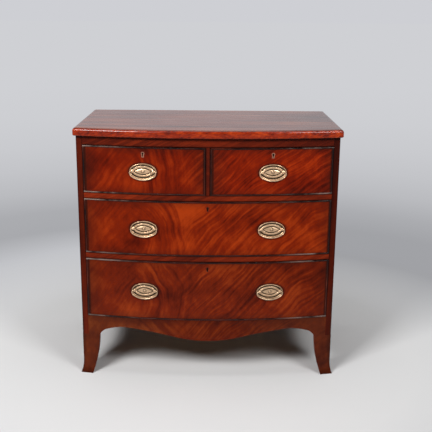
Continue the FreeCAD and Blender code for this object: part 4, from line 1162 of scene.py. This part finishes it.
def backdrop(finish, x, away):
    """The colour that the floor shows away from the chest, whatever light falls on it, with a
    painted shadow on its right near the chest.
    """
    fall = finish.math("DIVIDE", HORIZON_FALL, finish.add(away, HORIZON_NEAR))
    level = finish.span(finish.less(HORIZON_RISE, fall), *HORIZON_SPAN)
    left, right = [finish.screen_ramp(level, [(spot, (shade - 1, shade, shade + 4))
                                              for spot, shade in tones + FAR_TONES])
                   for tones in (LEFT_TONES, RIGHT_SHADOWED_TONES)]
    return finish.mix(finish.span(x, -0.6, 0.6), left, right)


def stage_finish(name, stage):
    """Pale matt floor: lit near the chest, with painted light towards its back and painted shade
    to its right, and an even pale grey away from it.
    """
    finish = Finish(name)
    x, y, _ = spot = finish.place()
    mottle = finish.grain(spot, (3, 3, 3), 3.0, 0.6)
    tone = finish.mix(finish.span(mottle, 0.3, 0.7, 0, 0.04), stage.floor, (0.4, 0.42, 0.45))
    # painted shade: darker towards the right
    tone = finish.mix(finish.span(x, -0.9, 0.9, 0, 0.04), tone, (0, 0, 0))
    # painted light: lighter towards the back near the chest, evening out the lamps' fall-off
    tone = finish.mix(finish.span(y, -0.7, 0.15, 0, 0.62), tone, (0.95, 0.95, 0.95))
    away = finish.reach(x, y)
    path = finish.node("LightPath").outputs
    direct = finish.most(path["Is Camera Ray"], path["Is Glossy Ray"],
                         path["Is Transmission Ray"])
    spent = finish.times(finish.less(1.0, direct), finish.span(away, *LAMP_BAND, 0, 0.95))
    matt = finish.node("BsdfDiffuse", {"Color": finish.mix(spent, tone, (0, 0, 0))})
    glow = finish.node("Emission", {"Color": backdrop(finish, x, away), "Strength": 1.0})
    beyond = finish.times(direct, finish.span(away, *BACKDROP_BAND))
    return finish.close(finish.node("MixShader", {0: beyond, 1: matt.outputs[0],
                                                  2: glow.outputs[0]}))


def floor_plane(stage):
    """The floor: one broad square."""
    mesh = bmesh.new()
    mesh.faces.new([mesh.verts.new((x * FLOOR_REACH, y * FLOOR_REACH, 0)) for x, y in CORNERS])
    data = bpy.data.meshes.new("floor")
    mesh.to_mesh(data)
    mesh.free()
    ground = bpy.data.objects.new("floor", data)
    bpy.context.scene.collection.objects.link(ground)
    data.materials.append(stage_finish("floor_paper", stage))


def room(name, stage):
    """The world: dim even light, a pale backdrop to the camera and behind polished wood."""
    world = bpy.data.worlds.new(name)
    world.use_nodes = True
    tree = world.node_tree
    tree.nodes.clear()
    node = partial(shader_node, tree)
    path = node("LightPath").outputs
    heading = node("SeparateXYZ", {0: node("TexCoord").outputs["Generated"]}).outputs[1]
    behind = node("MapRange", {"Value": heading, "From Min": 0.0, "From Max": 0.3})
    mirrored = node("Math", {0: path["Is Glossy Ray"], 1: behind.outputs[0]},
                    operation="MULTIPLY")
    shown = node("Math", {0: path["Is Camera Ray"], 1: mirrored.outputs[0]},
                 operation="MAXIMUM")
    dim = node("Background", {"Color": (0.93, 0.96, 1.0), "Strength": stage.ambient})
    pale = node("Background", {"Color": stage.wall, "Strength": 1.0})
    both = node("MixShader", {0: shown.outputs[0], 1: dim.outputs[0], 2: pale.outputs[0]})
    node("OutputWorld", {"Surface": both.outputs[0]})
    return world


# Each lamp's setting, place, the spot it is aimed at, and its width and height.
LAMPS = {
    "left_lamp": ("key_power", (-1.75, -2.6, 2.7), (0, -0.1, 0.4), (1.2, 1.0)),
    "right_lamp": ("side_power", (1.8, -2.45, 2.5), (0, -0.1, 0.4), (1.1, 1.0)),
    "overhead_lamp": ("top_power", (0.1, 0.0, 3.4), (0.1, 0.0, 0), (2.6, 1.6))}


def area_lamp(name, energy, spot, aim, size):
    """Hangs a soft rectangular lamp at spot, turned to aim."""
    lamp = bpy.data.lights.new(name, "AREA")
    lamp.shape = "RECTANGLE"
    lamp.size, lamp.size_y = size
    lamp.energy = energy
    holder = bpy.data.objects.new(name, lamp)
    bpy.context.scene.collection.objects.link(holder)
    holder.location = spot
    holder.rotation_euler = (Vector(aim) - Vector(spot)).to_track_quat("-Z", "Y").to_euler()


CAMERA_SPOT = (0.0155, -2.8176, 1.2947)
CAMERA_YAW = math.radians(0.295)
CAMERA_PITCH = math.radians(14.965)
CAMERA_ROLL = math.radians(0.5)
CAMERA_LENS, CAMERA_SENSOR = 64.45, 36  # mm


def camera_matrix():
    """Place and turn of the camera, from its yaw, pitch and roll."""
    heading = Vector((math.sin(CAMERA_YAW), math.cos(CAMERA_YAW), 0))
    level = Vector((math.cos(CAMERA_YAW), -math.sin(CAMERA_YAW), 0))
    forward = heading * math.cos(CAMERA_PITCH) - UP * math.sin(CAMERA_PITCH)
    raised = heading * math.sin(CAMERA_PITCH) + UP * math.cos(CAMERA_PITCH)
    right = level * math.cos(CAMERA_ROLL) + raised * math.sin(CAMERA_ROLL)
    above = raised * math.cos(CAMERA_ROLL) - level * math.sin(CAMERA_ROLL)
    turn = Matrix((right, above, -forward)).transposed().to_4x4()
    return Matrix.Translation(CAMERA_SPOT) @ turn


class BOWCHEST_OT_stage(Operator):
    """Sets up the floor, the backdrop, the lamps and the camera."""

    bl_idname = "bow_chest.stage"
    bl_label = "Stage"

    def execute(self, context):
        scene = context.scene
        stage = scene.bow_chest.stage
        floor_plane(stage)
        for name, (setting, *placing) in LAMPS.items():
            area_lamp(name, getattr(stage, setting), *placing)
        scene.world = room("room", stage)
        lens = bpy.data.cameras.new("camera")
        lens.lens = CAMERA_LENS
        lens.sensor_width = CAMERA_SENSOR
        camera = bpy.data.objects.new("camera", lens)
        scene.collection.objects.link(camera)
        camera.matrix_world = camera_matrix()
        scene.camera = camera
        scene.view_settings.view_transform = "Standard"
        return {"FINISHED"}


class BOWCHEST_PT_sidebar(Panel):
    """Lists the chest's steps and settings."""

    bl_label = "Bow front chest"
    bl_idname = "BOWCHEST_PT_sidebar"
    bl_space_type = "VIEW_3D"
    bl_region_type = "UI"
    bl_category = "Bow chest"

    def draw(self, context):
        settings = context.scene.bow_chest
        for step in STEPS:
            self.layout.operator(step.bl_idname)
        for group in (settings.woods, settings.brass, settings.stage):
            column = self.layout.box().column()
            for key in group.__annotations__:
                column.prop(group, key)


STEPS = (BOWCHEST_OT_carcase, BOWCHEST_OT_drawers, BOWCHEST_OT_plates, BOWCHEST_OT_posts,
         BOWCHEST_OT_bails, BOWCHEST_OT_locks, BOWCHEST_OT_fixings, BOWCHEST_OT_stage)
CLASSES = (ChestWoods, ChestBrass, ChestStage, ChestSettings) + STEPS + (BOWCHEST_PT_sidebar,)


def register():
    for made in CLASSES:
        bpy.utils.register_class(made)
    bpy.types.Scene.bow_chest = PointerProperty(type=ChestSettings)


def unregister():
    del bpy.types.Scene.bow_chest
    for made in reversed(CLASSES):
        bpy.utils.unregister_class(made)


def main():
    register()
    for step in STEPS:
        group, action = step.bl_idname.split(".")
        getattr(getattr(bpy.ops, group), action)()


if __name__ == "__main__":
    main()
